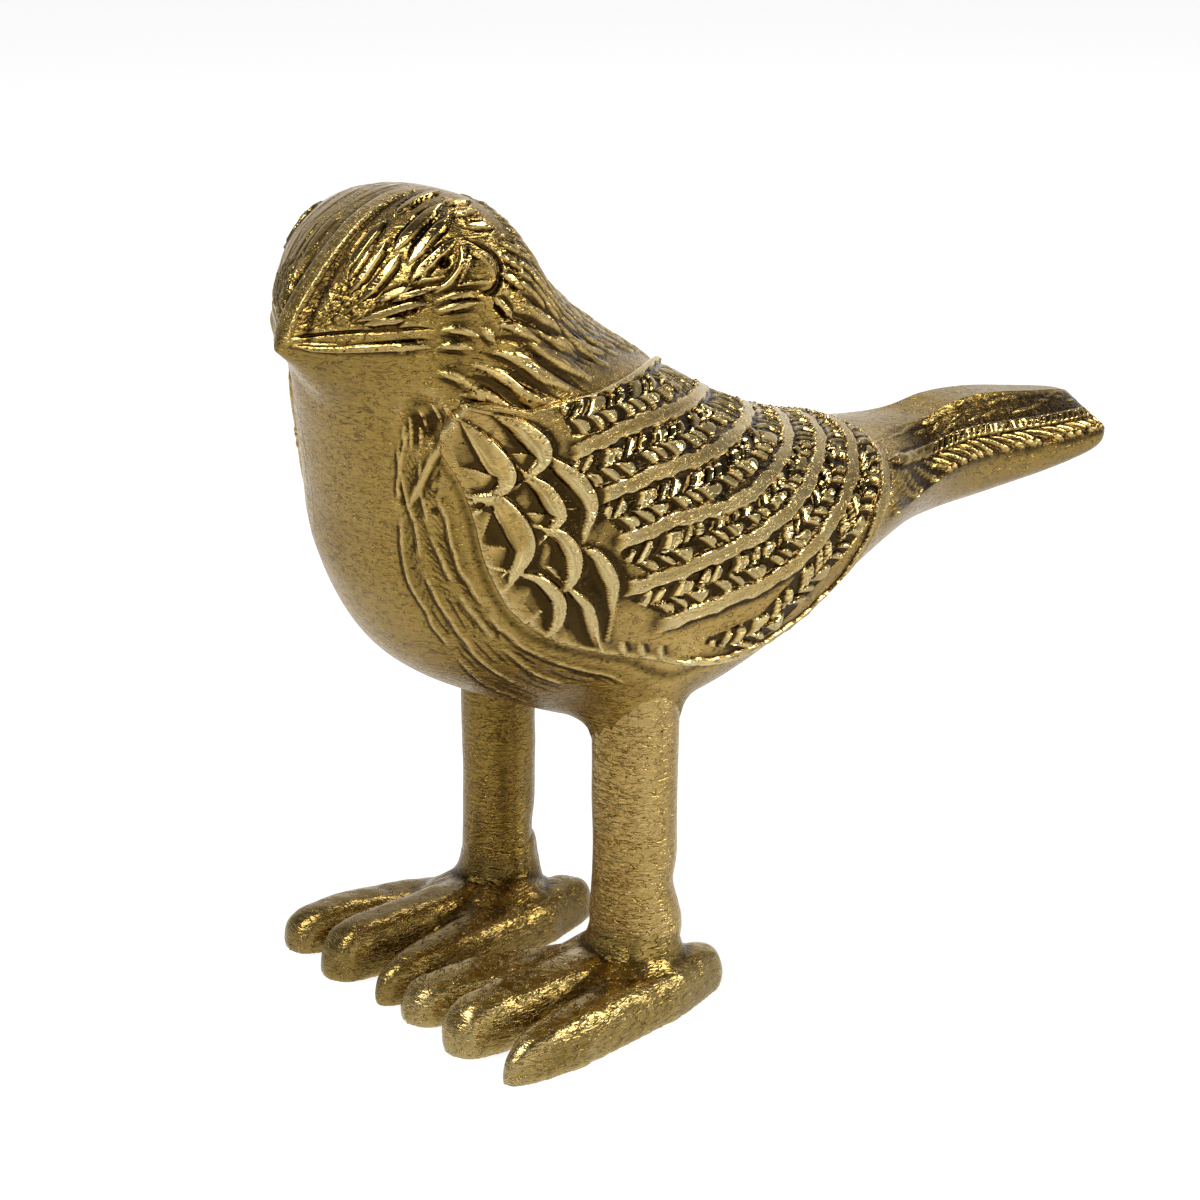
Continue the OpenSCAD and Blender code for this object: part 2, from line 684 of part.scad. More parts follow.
left_body_shell();
right_body_shell();
left_wing();
right_wing();
tail();
left_leg();
right_leg();
left_foot();
right_foot();
left_leg_stud();
right_leg_stud();
left_foot_screw();
right_foot_screw();
seam_dowels();
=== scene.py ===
# Free-standing cast brass bird: the looks built around its packed castings.
import math

import bpy
import numpy as np
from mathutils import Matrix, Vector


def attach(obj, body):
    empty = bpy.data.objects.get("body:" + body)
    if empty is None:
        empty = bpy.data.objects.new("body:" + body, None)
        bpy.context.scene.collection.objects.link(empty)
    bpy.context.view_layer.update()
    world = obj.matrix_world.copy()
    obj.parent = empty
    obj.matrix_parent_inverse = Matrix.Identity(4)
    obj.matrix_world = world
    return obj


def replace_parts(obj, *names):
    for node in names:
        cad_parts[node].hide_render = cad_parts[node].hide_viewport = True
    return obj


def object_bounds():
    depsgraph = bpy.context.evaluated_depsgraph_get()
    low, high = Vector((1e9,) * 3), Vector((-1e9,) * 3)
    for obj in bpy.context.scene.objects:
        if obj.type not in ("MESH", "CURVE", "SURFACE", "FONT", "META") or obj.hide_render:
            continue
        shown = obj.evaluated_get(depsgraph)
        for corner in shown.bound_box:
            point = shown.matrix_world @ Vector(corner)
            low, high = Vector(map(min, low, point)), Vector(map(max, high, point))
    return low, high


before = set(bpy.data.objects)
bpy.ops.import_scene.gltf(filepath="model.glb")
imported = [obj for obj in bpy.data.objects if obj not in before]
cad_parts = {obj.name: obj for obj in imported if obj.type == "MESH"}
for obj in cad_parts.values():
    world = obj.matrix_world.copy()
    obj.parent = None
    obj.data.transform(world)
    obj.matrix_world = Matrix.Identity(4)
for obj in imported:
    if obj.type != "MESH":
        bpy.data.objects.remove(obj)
cad_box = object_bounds()

# Body halves. Two hollow castings in brass, joined along the middle of the bird, with the seam
# dressed flush. The breast and belly are left satin from the file and the wire brush. The head,
# neck and flanks are chased with small punches, then darkened and rubbed back to bright metal.
MM = 0.001
belly_height = 53.5
body_depth = 107.5
half_body_width = 36
bird_length = (cad_box[1][1] - cad_box[0][1]) / MM
leg_x, leg_y = 22, -40
left_leg_radius, right_leg_radius = 8.5, 7.75
# fillet of the belly round the top of a leg, how much it narrows for each mm to the rear, and to what
hip_fillet, hip_taper, least_hip_fillet = 6.5, 0.12, 3.5
# how far the belly laps over the leg's edge
hip_lap = 0.4
# the crown is rubbed down to this height, and its crest stands this much proud along the seam
crown_height = 161.4
seam_crest = 0.75
shell_wall = 4
# stations where the halves meet the tail, and where the tail ends
tail_joint, tail_end = 13, 18
# edges that bend more than this stay crisp
crease_angle = math.radians(50)

# The sections of part.scad, from the beak to the end of the tail. Columns: top Y, top Z, bottom Y,
# bottom Z, half width, height of the widest point, roundness of the lower and of the upper half.
SECTION_SHARES = np.array([
    [-0.5, 0.78, -0.5, 0.765, 0.02, 0.5, 2, 2],
    [-0.48, 0.835, -0.48, 0.73, 0.18, 0.52, 1.8, 2],
    [-0.45, 0.9, -0.465, 0.695, 0.42, 0.58, 1.8, 2.3],
    [-0.41, 0.965, -0.45, 0.66, 0.61, 0.62, 1.8, 2.5],
    [-0.36, 1, -0.445, 0.61, 0.77, 0.62, 1.9, 2.5],
    [-0.31, 0.977, -0.44, 0.545, 0.84, 0.56, 2, 2.4],
    [-0.26, 0.86, -0.435, 0.455, 0.9, 0.52, 2, 2.2],
    [-0.205, 0.772, -0.425, 0.325, 0.94, 0.48, 2.1, 2.1],
    [-0.14, 0.688, -0.38, 0.175, 0.99, 0.47, 2.1, 2],
    [-0.07, 0.595, -0.285, 0.07, 1, 0.48, 2.1, 2],
    [0.01, 0.515, -0.18, 0, 0.97, 0.5, 2.1, 2],
    [0.09, 0.46, -0.055, 0.045, 0.85, 0.53, 2, 2],
    [0.17, 0.43, 0.06, 0.135, 0.68, 0.57, 2, 2],
    [0.245, 0.416, 0.175, 0.195, 0.49, 0.58, 2, 1.9],
    [0.3, 0.432, 0.255, 0.215, 0.39, 0.54, 2.2, 1.7],
    [0.355, 0.43, 0.335, 0.227, 0.35, 0.5, 2.6, 1.5],
    [0.425, 0.41, 0.425, 0.245, 0.35, 0.48, 3, 1.4],
    [0.48, 0.392, 0.48, 0.265, 0.36, 0.48, 3, 1.5],
    [0.5, 0.374, 0.5, 0.285, 0.32, 0.48, 3, 1.8],
])
# Half width of the flat strip along the top of the tail, by station, in mm
strip_stations = [12, 13, 14.5, 16, 17.2, 18]
strip_half_widths = [6.8, 6.1, 4.3, 3.1, 1.1, 0.4]
strip_angle = 157.5
facet_angle = 90


def clamp01(x):
    return np.clip(x, 0, 1)


def smooth01(x):
    x = clamp01(x)
    return x * x * (3 - 2 * x)


def rounded(x):
    """Height of a quarter round of radius 1, at a distance from its edge."""
    return np.sqrt(1 - (1 - clamp01(x)) ** 2)


def lengths_of(vectors):
    return np.linalg.norm(vectors, axis=-1)


def unit(vectors):
    return vectors / np.maximum(lengths_of(vectors)[..., None], 1e-9)


def way_along(path):
    """Distance from a path's start to each of its points."""
    return np.concatenate([[0], np.cumsum(lengths_of(np.diff(path, axis=0)))])


def row_at(table, u):
    """Rows on a smooth curve through a table's rows, at the places u."""
    last = len(table) - 1
    i = np.clip(np.floor(u).astype(int), 0, last - 1)
    t = (u - i)[..., None]
    here, after = table[i], table[i + 1]
    before = np.where((i > 0)[..., None], table[np.maximum(i - 1, 0)], 2 * here - after)
    beyond = np.where((i < last - 1)[..., None], table[np.minimum(i + 2, last)], 2 * after - here)
    return (2 * here + (after - before) * t + (2 * before - 5 * here + 4 * after - beyond) * t**2
            + (3 * here - before - 3 * after + beyond) * t**3) / 2


def bird_skin(u, angle):
    """Points of the plain left skin in mm, at stations and at angles from belly (0) to back (180)."""
    u, angle = np.broadcast_arrays(np.asarray(u, float), np.asarray(angle, float))
    row = np.moveaxis(row_at(SECTION_SHARES, u), -1, 0)
    top_y, low_y = row[0] * bird_length, row[2] * bird_length
    top_z, low_z = belly_height + row[1] * body_depth, belly_height + row[3] * body_depth
    half, widest = row[4] * half_body_width, row[5]
    is_low = angle <= 90
    power = 2 / np.where(is_low, row[6], row[7])
    out = np.sin(np.radians(angle)).clip(0) ** power
    rise = np.abs(np.cos(np.radians(angle))) ** power
    # the tail is planed: a flat strip on top, and a sloping facet down to each side wall
    planed = smooth01((u - 11.9) / 1.3) * ~is_low
    strip = np.interp(u, strip_stations, strip_half_widths) / half
    slope = clamp01((angle - facet_angle) / (strip_angle - facet_angle))
    flat_out = np.where(angle < strip_angle, 1 - (1 - strip) * slope,
                        strip * (180 - angle) / (180 - strip_angle))
    out = out + planed * (flat_out - out)
    rise = rise + planed * (slope - rise)
    share = np.where(is_low, widest * (1 - rise), widest + (1 - widest) * rise)
    return np.stack([half * out, low_y + (top_y - low_y) * share, low_z + (top_z - low_z) * share], -1)


def trail(places, spacing=0.9):
    """A smooth line on the skin through places given as (station, angle)."""
    places = np.array(places, float)
    rough = bird_skin(*row_at(places, np.linspace(0, len(places) - 1, 8 * len(places))).T)
    length = lengths_of(np.diff(rough, axis=0)).sum()
    count = max(3, int(length / spacing) + 2)
    return bird_skin(*row_at(places, np.linspace(0, len(places) - 1, count)).T)


class Chasing:
    """One casting's plain skin, and the marks that the chaser's punches raise and sink in it."""

    def __init__(self, u, angle):
        points = bird_skin(u, angle)
        self.grid, self.u, self.angle = u.shape, u.ravel(), angle.ravel()
        self.points = points.reshape(-1, 3)
        along, around = np.gradient(points, axis=(0, 1))
        self.normals = unit(np.cross(along, around)).reshape(-1, 3)
        self.form, self.lips, self.raised, self.sunk, self.patina = np.zeros((5, len(self.points)))

    def beside(self, path, reach):
        """Points within reach of a path: numbers, distances, places to its right, shares of its length.

        The path is points, or places on the skin as (station, angle)."""
        path = trail(path) if np.shape(path)[1] == 2 else path
        inside = (self.points > path.min(0) - reach) & (self.points < path.max(0) + reach)
        near = np.flatnonzero(inside.all(1))
        spots, facing = self.points[near], self.normals[near]
        distance = np.full(len(near), 1e9)
        right, share = np.zeros((2, len(near)))
        steps, starts = np.diff(path, axis=0), way_along(path)
        for start, step, length, before in zip(path, steps, lengths_of(steps), starts):
            along = np.clip((spots - start) @ step / length**2, 0, 1)
            away = spots - start - along[:, None] * step
            gap = lengths_of(away)
            closer = gap < distance
            distance[closer] = gap[closer]
            share[closer] = ((before + along * length) / starts[-1])[closer]
            right[closer] = (np.cross(step / length, facing[closer]) * away[closer]).sum(1)
        return near, distance, right, share

    def stroke(self, path, width, height, flat, ends, least):
        """The points under a stroke that narrows to its ends, and its height there."""
        near, distance, _, share = self.beside(path, width)
        body = smooth01(share / ends) * smooth01((1 - share) / ends)
        half = width / 2 * (0.35 + 0.65 * body)
        return near, height * smooth01((1 - distance / half) / (1 - flat)) * (least + (1 - least) * body)

    def ridge(self, path, width, height, flat, ends=0.3):
        near, mark = self.stroke(path, width, height, flat, ends, 0.5)
        self.raised[near] = np.maximum(self.raised[near], mark)

    def groove(self, path, width, depth, flat=0, ends=0.3):
        near, mark = self.stroke(path, width, depth, flat, ends, 0.3)
        self.sunk[near] = np.minimum(self.sunk[near], -mark)

    def scale(self, path, width, height, hollow):
        """A scale: a crescent lip, widest in its middle, and a hollow to the right of it."""
        hollow_width = 3.6
        near, _, right, share = self.beside(path, width * 2.2)
        body = np.sin(np.pi * share.clip(0, 1)) ** 0.8
        wide = width * (0.12 + 0.88 * body)
        across = (right / wide).clip(0, 1)
        ahead = height * np.sqrt(1 - across ** 2) - hollow * smooth01((across - 0.55) / 0.45)
        ahead *= smooth01((wide + hollow_width - right) / 3.2)
        mark = (0.2 + 0.8 * body) * np.where(right < 0, height * smooth01(1 + right / 0.6), ahead)
        reached = right < wide + hollow_width
        taller = reached & (np.abs(mark) > np.abs(self.lips[near]))
        self.lips[near[taller]] = mark[taller]
        inside = near[reached & (right > wide - 0.4)]
        shade = 1.1 * body[reached & (right > wide - 0.4)]
        self.patina[inside] = np.maximum(self.patina[inside], shade)

    def dome(self, place, radius, height):
        """A round boss, or a pit where the height is below 0."""
        gap = lengths_of(self.points - bird_skin(*place))
        self.form += height * smooth01(1.25 * (1 - gap / radius))

    def stain(self, patina):
        self.patina = np.maximum(self.patina, patina)

    def fade(self, share):
        """Takes the strokes back to a share of their height."""
        self.raised *= share
        self.sunk *= share

    def seam_fade(self):
        """0 on the seam of the halves, 1 away from it, so that they meet flush."""
        return smooth01(np.minimum(self.angle, 180 - self.angle) / 3)

    def height(self):
        return self.form + self.lips + self.raised + self.sunk

    def worked(self):
        """The points with every mark in them."""
        return (self.points + self.normals * self.height()[:, None]).reshape(*self.grid, 3)

    def soft(self, values, cells):
        """Values averaged over a square of cells, twice."""
        span = 2 * cells + 1
        for axis in (0, 1, 0, 1):
            border = [(cells, cells) if axis == k else (0, 0) for k in (0, 1)]
            total = np.cumsum(np.pad(values, border, mode="edge"), axis=axis)
            total = np.insert(total, 0, 0, axis=axis)
            low = np.take(total, range(self.grid[axis]), axis=axis)
            high = np.take(total, range(span, span + self.grid[axis]), axis=axis)
            values = (high - low) / span
        return values

    def looks(self):
        """For each point: whether it stands out (1) or lies back (0), and whether a tool cut it (1)."""
        marks = (self.height(), self.raised, self.sunk, self.lips, self.patina)
        height, raised, sunk, lips, patina = (mark.reshape(self.grid) for mark in marks)
        worn = 0.5 + 0.5 * np.tanh((height - self.soft(height, 4)) / 0.25)
        proud = clamp01((raised + lips.clip(0)) / 0.3)
        cut = clamp01((np.abs(raised) + np.abs(sunk) + np.abs(lips)) / 0.25)
        # the dark patina stays in the ground round the marks
        ground = np.maximum(patina, 0.5 * self.soft(proud, 5))
        worn = clamp01(worn - 0.25 * ground * (1 - proud))
        return {"wear": worn, "cut": clamp01(self.soft(cut, 2) * 1.4)}


def rolled(name, points, looks=None):
    """A closed mesh from rows of points in mm, each row a ring, with the first and last rings filled."""
    rows, columns = points.shape[:2]
    bpy.ops.mesh.primitive_grid_add(x_subdivisions=columns, y_subdivisions=rows - 1)
    piece = bpy.context.object
    piece.name = piece.data.name = name
    ring = np.concatenate([points, points[:, :1]], axis=1)
    piece.data.vertices.foreach_set("co", (ring * MM).ravel())
    for look, values in (looks or {}).items():
        spread = np.full((rows, columns + 1), 0.5 if look == "wear" else 0, np.float32)
        spread[:, :values.shape[1]] = values
        attribute = piece.data.attributes.new(look, "FLOAT", "POINT")
        attribute.data.foreach_set("value", spread.ravel())
    bpy.ops.object.mode_set(mode="EDIT")
    bpy.ops.mesh.select_all(action="SELECT")
    bpy.ops.mesh.remove_doubles(threshold=1e-6)
    bpy.ops.mesh.fill_holes(sides=0)
    bpy.ops.mesh.select_all(action="SELECT")
    bpy.ops.mesh.normals_make_consistent(inside=False)
    bpy.ops.object.mode_set(mode="OBJECT")
    return piece


def dress(piece, brass):
    """Smooths the active piece, and gives it its brass and its place in the part."""
    bpy.ops.object.shade_smooth_by_angle(angle=crease_angle)
    piece.data.materials.append(brass)
    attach(piece, "root")
    return piece


def linear(colour):
    """A linear colour from an sRGB hex value, or a grey from a number."""
    if not isinstance(colour, str):
        return [colour] * 3 + [1]
    parts = [int(colour[i:i + 2], 16) / 255 for i in (1, 3, 5)]
    return [c / 12.92 if c <= 0.04045 else ((c + 0.055) / 1.055) ** 2.4 for c in parts] + [1]


def link(socket, value):
    """Gives a socket a value, or a link from another node."""
    if isinstance(value, bpy.types.Node):
        value = value.outputs[0]
    if isinstance(value, bpy.types.NodeSocket):
        socket.id_data.links.new(value, socket)
    else:
        socket.default_value = value


def fill(node, **values):
    """Gives a node its ramp's stops, its settings, in small letters, and its named inputs."""
    for key, value in values.items():
        if key == "stops":
            elements = node.color_ramp.elements
            while len(elements) < len(value):
                elements.new(0.5)
            for element, (place, colour) in zip(elements, value):
                element.position, element.color = place, linear(colour)
        elif key[0].islower():
            setattr(node, key, value)
        else:
            link(node.inputs[key.replace("_", " ")], value)
    return node


def add(tree, kind, *inputs, **values):
    """A new node with its first inputs, its settings and its named inputs."""
    node = fill(tree.nodes.new("ShaderNode" + kind), **values)
    for socket, value in zip(node.inputs, inputs):
        link(socket, value)
    return node


def new_material(name):
    """A material, its node tree and its shader."""
    material = bpy.data.materials.new(name)
    material.use_nodes = True
    return material, material.node_tree, material.node_tree.nodes["Principled BSDF"]


def old_brass(name, dark, middle, bright, roughness, brush_depth, squiggle_mm, squiggle_depth):
    """Cast brass, chemically darkened and rubbed back: brown in the hollows, gold on the crests."""
    cloud_mm, speck_mm, patch_mm, brush_mm, pit_spacing_mm = 16, 1.3, 1.6, 1.2, 5
    material, tree, shader = new_material(name)
    place = add(tree, "TexCoord").outputs["Object"]
    worn = add(tree, "Attribute", attribute_name="wear").outputs["Fac"]
    clouds = add(tree, "TexNoise", Vector=place, Scale=1 / (cloud_mm * MM), Detail=4.0)
    specks = add(tree, "TexNoise", Vector=place, Scale=1 / (speck_mm * MM))
    mottled = add(tree, "Math", clouds, 0.25, worn, operation="MULTIPLY_ADD")
    tinted = add(tree, "Math", specks, 0.16, mottled, operation="MULTIPLY_ADD")
    # short curved scratches: thin lines of equal height in a noise, broken up by a coarser one, and
    # drawn wider apart than real ones so that they show
    wide = add(tree, "VectorMath", place, (0.5, 0.5, 1.5), operation="MULTIPLY")
    rough = add(tree, "TexNoise", Vector=wide, Scale=1 / (squiggle_mm * MM), Roughness=0.55, Distortion=0.6)
    level = add(tree, "Math", rough, 0.5, operation="SUBTRACT")
    away = add(tree, "Math", level, operation="ABSOLUTE")
    line = add(tree, "MapRange", interpolation_type="SMOOTHSTEP", Value=away, From_Max=0.035, To_Min=1.0,
               To_Max=0.0)
    patches = add(tree, "TexNoise", Vector=place, Scale=1 / (patch_mm * MM), Detail=1.0)
    broken = add(tree, "MapRange", Value=patches, From_Min=0.38, From_Max=0.48)
    scratch = add(tree, "Math", line, broken, operation="MULTIPLY")
    # casting pits, small and far apart
    cells = add(tree, "TexVoronoi", Vector=place, Scale=1 / (pit_spacing_mm * MM))
    pit = add(tree, "MapRange", Value=cells, From_Min=0.03, From_Max=0.055, To_Min=1.0, To_Max=0.0)
    marks = add(tree, "Math", pit, 2.5, scratch, operation="MULTIPLY_ADD")
    stained = add(tree, "Math", marks, -0.14, tinted, operation="MULTIPLY_ADD")
    stain = add(tree, "Math", stained, 0.21, operation="SUBTRACT")
    colour = add(tree, "ValToRGB", stain, stops=[(0.2, dark), (0.5, middle), (0.85, bright)])
    # where a tool has cut, the brass is nearly a mirror, elsewhere satin
    cut = add(tree, "Attribute", attribute_name="cut").outputs["Fac"]
    gloss = add(tree, "MapRange", Value=cut, To_Min=roughness, To_Max=roughness * 0.45)
    uneven = add(tree, "Math", specks, 0.14, gloss, operation="MULTIPLY_ADD")
    uneven = add(tree, "Math", uneven, 0.07, operation="SUBTRACT")
    # wire-brush lines: a fine noise drawn out level round the bird, coarse enough to show
    drawn = add(tree, "VectorMath", place, (0.45, 0.45, 2.0), operation="MULTIPLY")
    brushed = add(tree, "TexNoise", Vector=drawn, Scale=1 / (brush_mm * MM), Distortion=1.0)
    grained = add(tree, "Math", specks, 0.08, brushed, operation="MULTIPLY_ADD")
    uncut = add(tree, "MapRange", Value=cut, To_Min=1.0, To_Max=0.25)
    grain = add(tree, "Bump", Height=grained, Distance=brush_depth * MM, Strength=uncut)
    scored = add(tree, "Bump", invert=True, Height=marks, Distance=squiggle_depth * MM, Strength=uncut,
                 Normal=grain)
    fill(shader, Metallic=1, Base_Color=colour, Roughness=uneven, Normal=scored)
    return material


# Satin cast brass: filed, wire-brushed and left alone, so it is a warm olive gold with a broken, soft
# shine, brown where punches sank it
satin_brass = old_brass("satin_cast_brass", "#4A381A", "#AA8C48", "#CDB070", 0.25, 0.3, 1.8, 0.14)

# Chased marks of a half, each through places given as (station, angle)
crown_strokes = [
    ([(2.1, 158), (2.6, 164), (3.07, 168)], 2.4), ([(1.88, 135), (2.35, 145), (2.81, 153)], 1.5),
    ([(1.97, 121), (2.4, 129), (2.8, 137)], 1.7), ([(2.79, 143), (3.3, 152), (3.88, 160)], 2.3),
    ([(2.87, 127), (3.3, 138), (3.77, 148)], 2), ([(2.82, 113), (3.2, 121), (3.65, 130)], 1.8),
    ([(1.95, 96), (2.73, 87)], 1.2), ([(1.85, 102), (2.4, 97), (3.17, 92)], 1.3),
    ([(1.99, 148), (2.6, 158)], 1.2), ([(2.45, 104), (3.13, 100)], 1.1), ([(2.2, 112), (2.8, 107)], 1.3),
    ([(3.27, 168), (3.8, 171), (4.29, 173)], 1.8), ([(3.9, 160), (4.5, 161)], 1.6),
    ([(3.8, 149), (4.4, 150)], 1.5), ([(3.9, 138), (4.5, 139)], 1.4), ([(4.5, 128), (4.95, 130)], 1.3),
    ([(4.45, 120), (4.95, 121)], 1.2), ([(4.5, 111), (4.95, 112)], 1.2), ([(4.4, 98), (4.9, 98)], 1.3),
]
cheek_strokes = [
    [(3.36, 88), (4.12, 93)], [(3.54, 79), (4.34, 83)], [(3.63, 72), (4.32, 78)],
    [(3.3, 93), (4.3, 97)], [(3.9, 63), (4.71, 70)], [(4.66, 65), (5.2, 75)], [(4.3, 86), (4.75, 87)],
]
eye_strokes = [
    ([(2.91, 107), (3.2, 120), (3.49, 127), (3.73, 130)], 1.2),
    ([(3.73, 129), (3.67, 114), (3.49, 103), (3.23, 98)], 1.5),
    ([(2.95, 110), (3.2, 107), (3.4, 107)], 1), ([(2.95, 104), (3.15, 101), (3.35, 101)], 0.9),
    ([(3.84, 120), (3.61, 99)], 0.9), ([(3.61, 99), (4.33, 104)], 0.9), ([(4.33, 105), (3.84, 120)], 0.9),
]
eye_outline = [(3.80, 129), (4.05, 125), (4.36, 118), (4.43, 108), (4.29, 99), (3.9, 95)]
mouth_top = [(0.4, 125), (0.75, 112), (1.39, 99), (1.95, 90), (2.67, 81), (3.34, 79)]
mouth_low = np.array([(0.4, 98), (0.9, 86), (1.41, 80), (2.01, 77), (2.77, 73), (3.43, 74)])
flank_lines = [
    [(4.6, 33), (5.63, 28), (6.51, 26), (7.31, 28), (7.86, 29), (8.66, 23), (9.41, 17)],
    [(4.35, 40), (5.08, 32), (5.99, 32), (6.69, 33), (7.36, 35), (7.93, 35), (8.69, 33), (9.48, 29)],
    [(5.1, 40), (6.05, 37), (6.77, 41), (7.33, 43), (7.95, 44), (8.57, 42), (9.43, 42)],
    [(5.81, 44), (6.68, 46), (7.38, 48), (8.08, 50), (8.85, 52), (9.6, 56)],
]
# Lower edge and front edge of a wing, as angles by station, and where the wing starts and ends
wing_low = np.array([
    [4.7, 57], [4.9, 51], [5.2, 49], [5.8, 53], [6.5, 55], [7.5, 54], [8.2, 57], [9, 62],
    [10, 68], [10.7, 71], [11.3, 84], [11.7, 108], [12, 136],
])
wing_top = np.array([
    [4.7, 61], [4.9, 67], [5.2, 74], [5.8, 88], [6.4, 108], [7.5, 142], [8.2, 163], [8.8, 180], [12, 180],
])
wing_first, wing_last = 4.7, 12
wing_dish = 1.6


def low_edge(u):
    return np.interp(u, *wing_low.T)


def top_edge(u):
    return np.interp(u, *wing_top.T)


def dish_at(u, angle):
    """Depth of the dish that a wing is bedded in."""
    sides = np.minimum(angle - low_edge(u), top_edge(u) - angle) / 26
    ends = np.minimum(u - wing_first, wing_last - u) / 1.2
    return wing_dish * smooth01(sides) * smooth01(ends)


def leaf(cast, places, width):
    """A small feather: a flat pointed blade with a rib cut down it and nicks along one side."""
    blade = trail(places)
    cast.ridge(blade, width, height=0.75, flat=0.6, ends=0.5)
    cast.groove(blade[len(blade) // 4:-len(blade) // 5], width=0.7, depth=0.3)
    places = np.array(places, float)
    for side in (-1, 1):
        cast.groove(places + [0, side * (2.2 + width)], width=1.8, depth=0.45, flat=0.2)
    for k in range(2, len(blade) - 2):
        spot = row_at(places, np.array(k / len(blade) * (len(places) - 1)))
        cast.groove([spot - [0, 0.6], spot - [0.06, 0.9 + width]], width=0.5, depth=0.25)


def crest_at(u):
    """How full the crest is, along the crown."""
    return smooth01(u / 0.8) * smooth01((4.5 - u) / 1.6)


def chase_head(cast, dice, far):
    """Crown ridge, beak, eye and the long strokes over the head, which are fainter on the far side."""
    u, out, is_top = cast.u, cast.points[:, 0], cast.angle > 90
    crest_half_width, crest_height = 2.7, 0.7
    furrow_middle, furrow_half_width, furrow_depth = 4.2, 2.2, 0.6
    crest = is_top * smooth01((crest_half_width - out) / 0.9) * crest_at(u)
    furrow = is_top * smooth01(1 - abs(out - furrow_middle) / furrow_half_width)
    furrow = furrow * smooth01((u - 0.5) / 0.6) * smooth01(2.6 - u)
    cast.form += crest_height * crest - furrow_depth * furrow
    cast.stain(0.8 * furrow)
    # each long stroke of the crown stands in a moat
    stroke_height, moat_depth, moat_room = 0.95 * far, 0.5 * far, 2.8
    for path, width in crown_strokes:
        line = trail(path)
        cast.groove(line, width=width + moat_room, depth=moat_depth, flat=0.35, ends=0.25)
        cast.ridge(line, width=width * 1.35, height=stroke_height, flat=0.6, ends=0.25)
        for _ in range(3):
            spot = path[0] + (np.array(path[-1]) - path[0]) * dice.uniform(0.1, 0.9)
            spot = spot + [0, dice.choice([-1, 1]) * (3.5 + width)]
            cast.ridge([spot, spot + [0.06, 3.2]], width=0.7, height=0.35 * far, flat=0)
    for path in cheek_strokes:
        cast.ridge(path, width=1.7, height=0.5, flat=0.5, ends=0.4)
        cast.groove(np.array(path) - [0, 2.6], width=0.9, depth=0.25, ends=0.4)
    for path, width in eye_strokes:
        cast.ridge(path, width, height=0.6, flat=0.2, ends=0.2)
    # the eye: a ball with a deep pupil and a small nick, in a cut outline
    cast.groove(eye_outline, width=2.0, depth=0.7, ends=0.2)
    cast.dome((3.97, 109), radius=4.6, height=0.8)
    cast.dome((3.38, 116.5), radius=1.35, height=-1.2)
    cast.dome((3.86, 111), radius=0.7, height=-0.5)
    # the mouth's two lines, a nicked lip below them, a cut across them and a small bump on the chin
    cast.groove(mouth_top, width=1.1, depth=0.5, ends=0.1)
    cast.groove(mouth_low, width=0.8, depth=0.4, ends=0.1)
    cast.ridge(mouth_low - [0, 3.4], width=1.9, height=0.5, flat=0.5, ends=0.15)
    for s in np.arange(0.8, 3.3, 0.14):
        a = np.interp(s, *mouth_low.T) - 3.4
        nick = [(s, a + dice.uniform(-3, 0)), (s + dice.uniform(-0.08, 0.08), a - dice.uniform(1, 4))]
        cast.groove(nick, width=0.7, depth=dice.uniform(0.15, 0.4), ends=0.2)
    cast.groove([(1.96, 91), (1.98, 79)], width=0.5, depth=0.35, ends=0.2)
    cast.dome((2.86, 69), radius=1.5, height=0.45)
    # worm-like stipple on the side of the beak
    stipples = 320
    for _ in range(stipples):
        s, a = dice.uniform(0.7, 2.1), dice.uniform(98, 156)
        if a > 168 - 30 * abs(s - 1.2) or a < 128 - 28 * (s - 0.7):
            continue
        turn = dice.uniform(-8, 8)
        cast.ridge([(s, a), (s + 0.08, a + turn)], width=0.6, height=0.24, flat=0.1, ends=0.2)


def chase_neck(cast, dice, far):
    """Leaf feathers on the side of the neck, and rows of thin strokes down the nape and mantle."""
    leaves = [
        ([(5.25, 96), (5.97, 112), (6.67, 122)], 3), ([(4.84, 85), (5.61, 97), (6.27, 109)], 3.2),
        ([(4.53, 75), (5.23, 84), (5.85, 92)], 2.4), ([(4.66, 69), (5.2, 76), (5.6, 82)], 2),
        ([(5.55, 109), (5.96, 118), (6.32, 123)], 2.6), ([(4.63, 91), (5.1, 98), (5.51, 105)], 2),
        ([(5.2, 82), (5.69, 90), (6.02, 96)], 2), ([(4.7, 63), (4.9, 65), (5.1, 67)], 1.6),
        ([(6, 124), (6.5, 132), (6.9, 138)], 1.8), ([(5, 106), (5.4, 113), (5.8, 120)], 1.8),
    ]
    for places, width in leaves:
        leaf(cast, places, width)
    row_step, stroke_step = 0.36, 4.6
    for row, s in enumerate(np.arange(4.75, 8.6, row_step), 1):
        for a in np.arange(102, 180, stroke_step):
            a = a + stroke_step / 2 * (row % 2) + dice.uniform(-0.7, 0.7)
            front = np.interp(a, wing_top[:-1, 1], wing_top[:-1, 0])
            length = dice.uniform(0.42, 0.62)
            drift = 13 * math.sin(math.radians(np.clip((a - 96) / 84, 0, 1) * 180)) * length
            if s + length > front + 0.15 or a > 177 or a < 112 + 10 * (s - 5):
                continue
            path = trail([(s, a), (s + length / 2, a + 0.4 * drift), (s + length, min(a + drift, 179))])
            cast.ridge(path, width=dice.uniform(1.1, 1.6), height=dice.uniform(0.35, 0.6) * far, flat=0.15,
                       ends=0.35)
            cast.groove(path + [0, 0, -0.9], width=0.9, depth=0.3, ends=0.35)


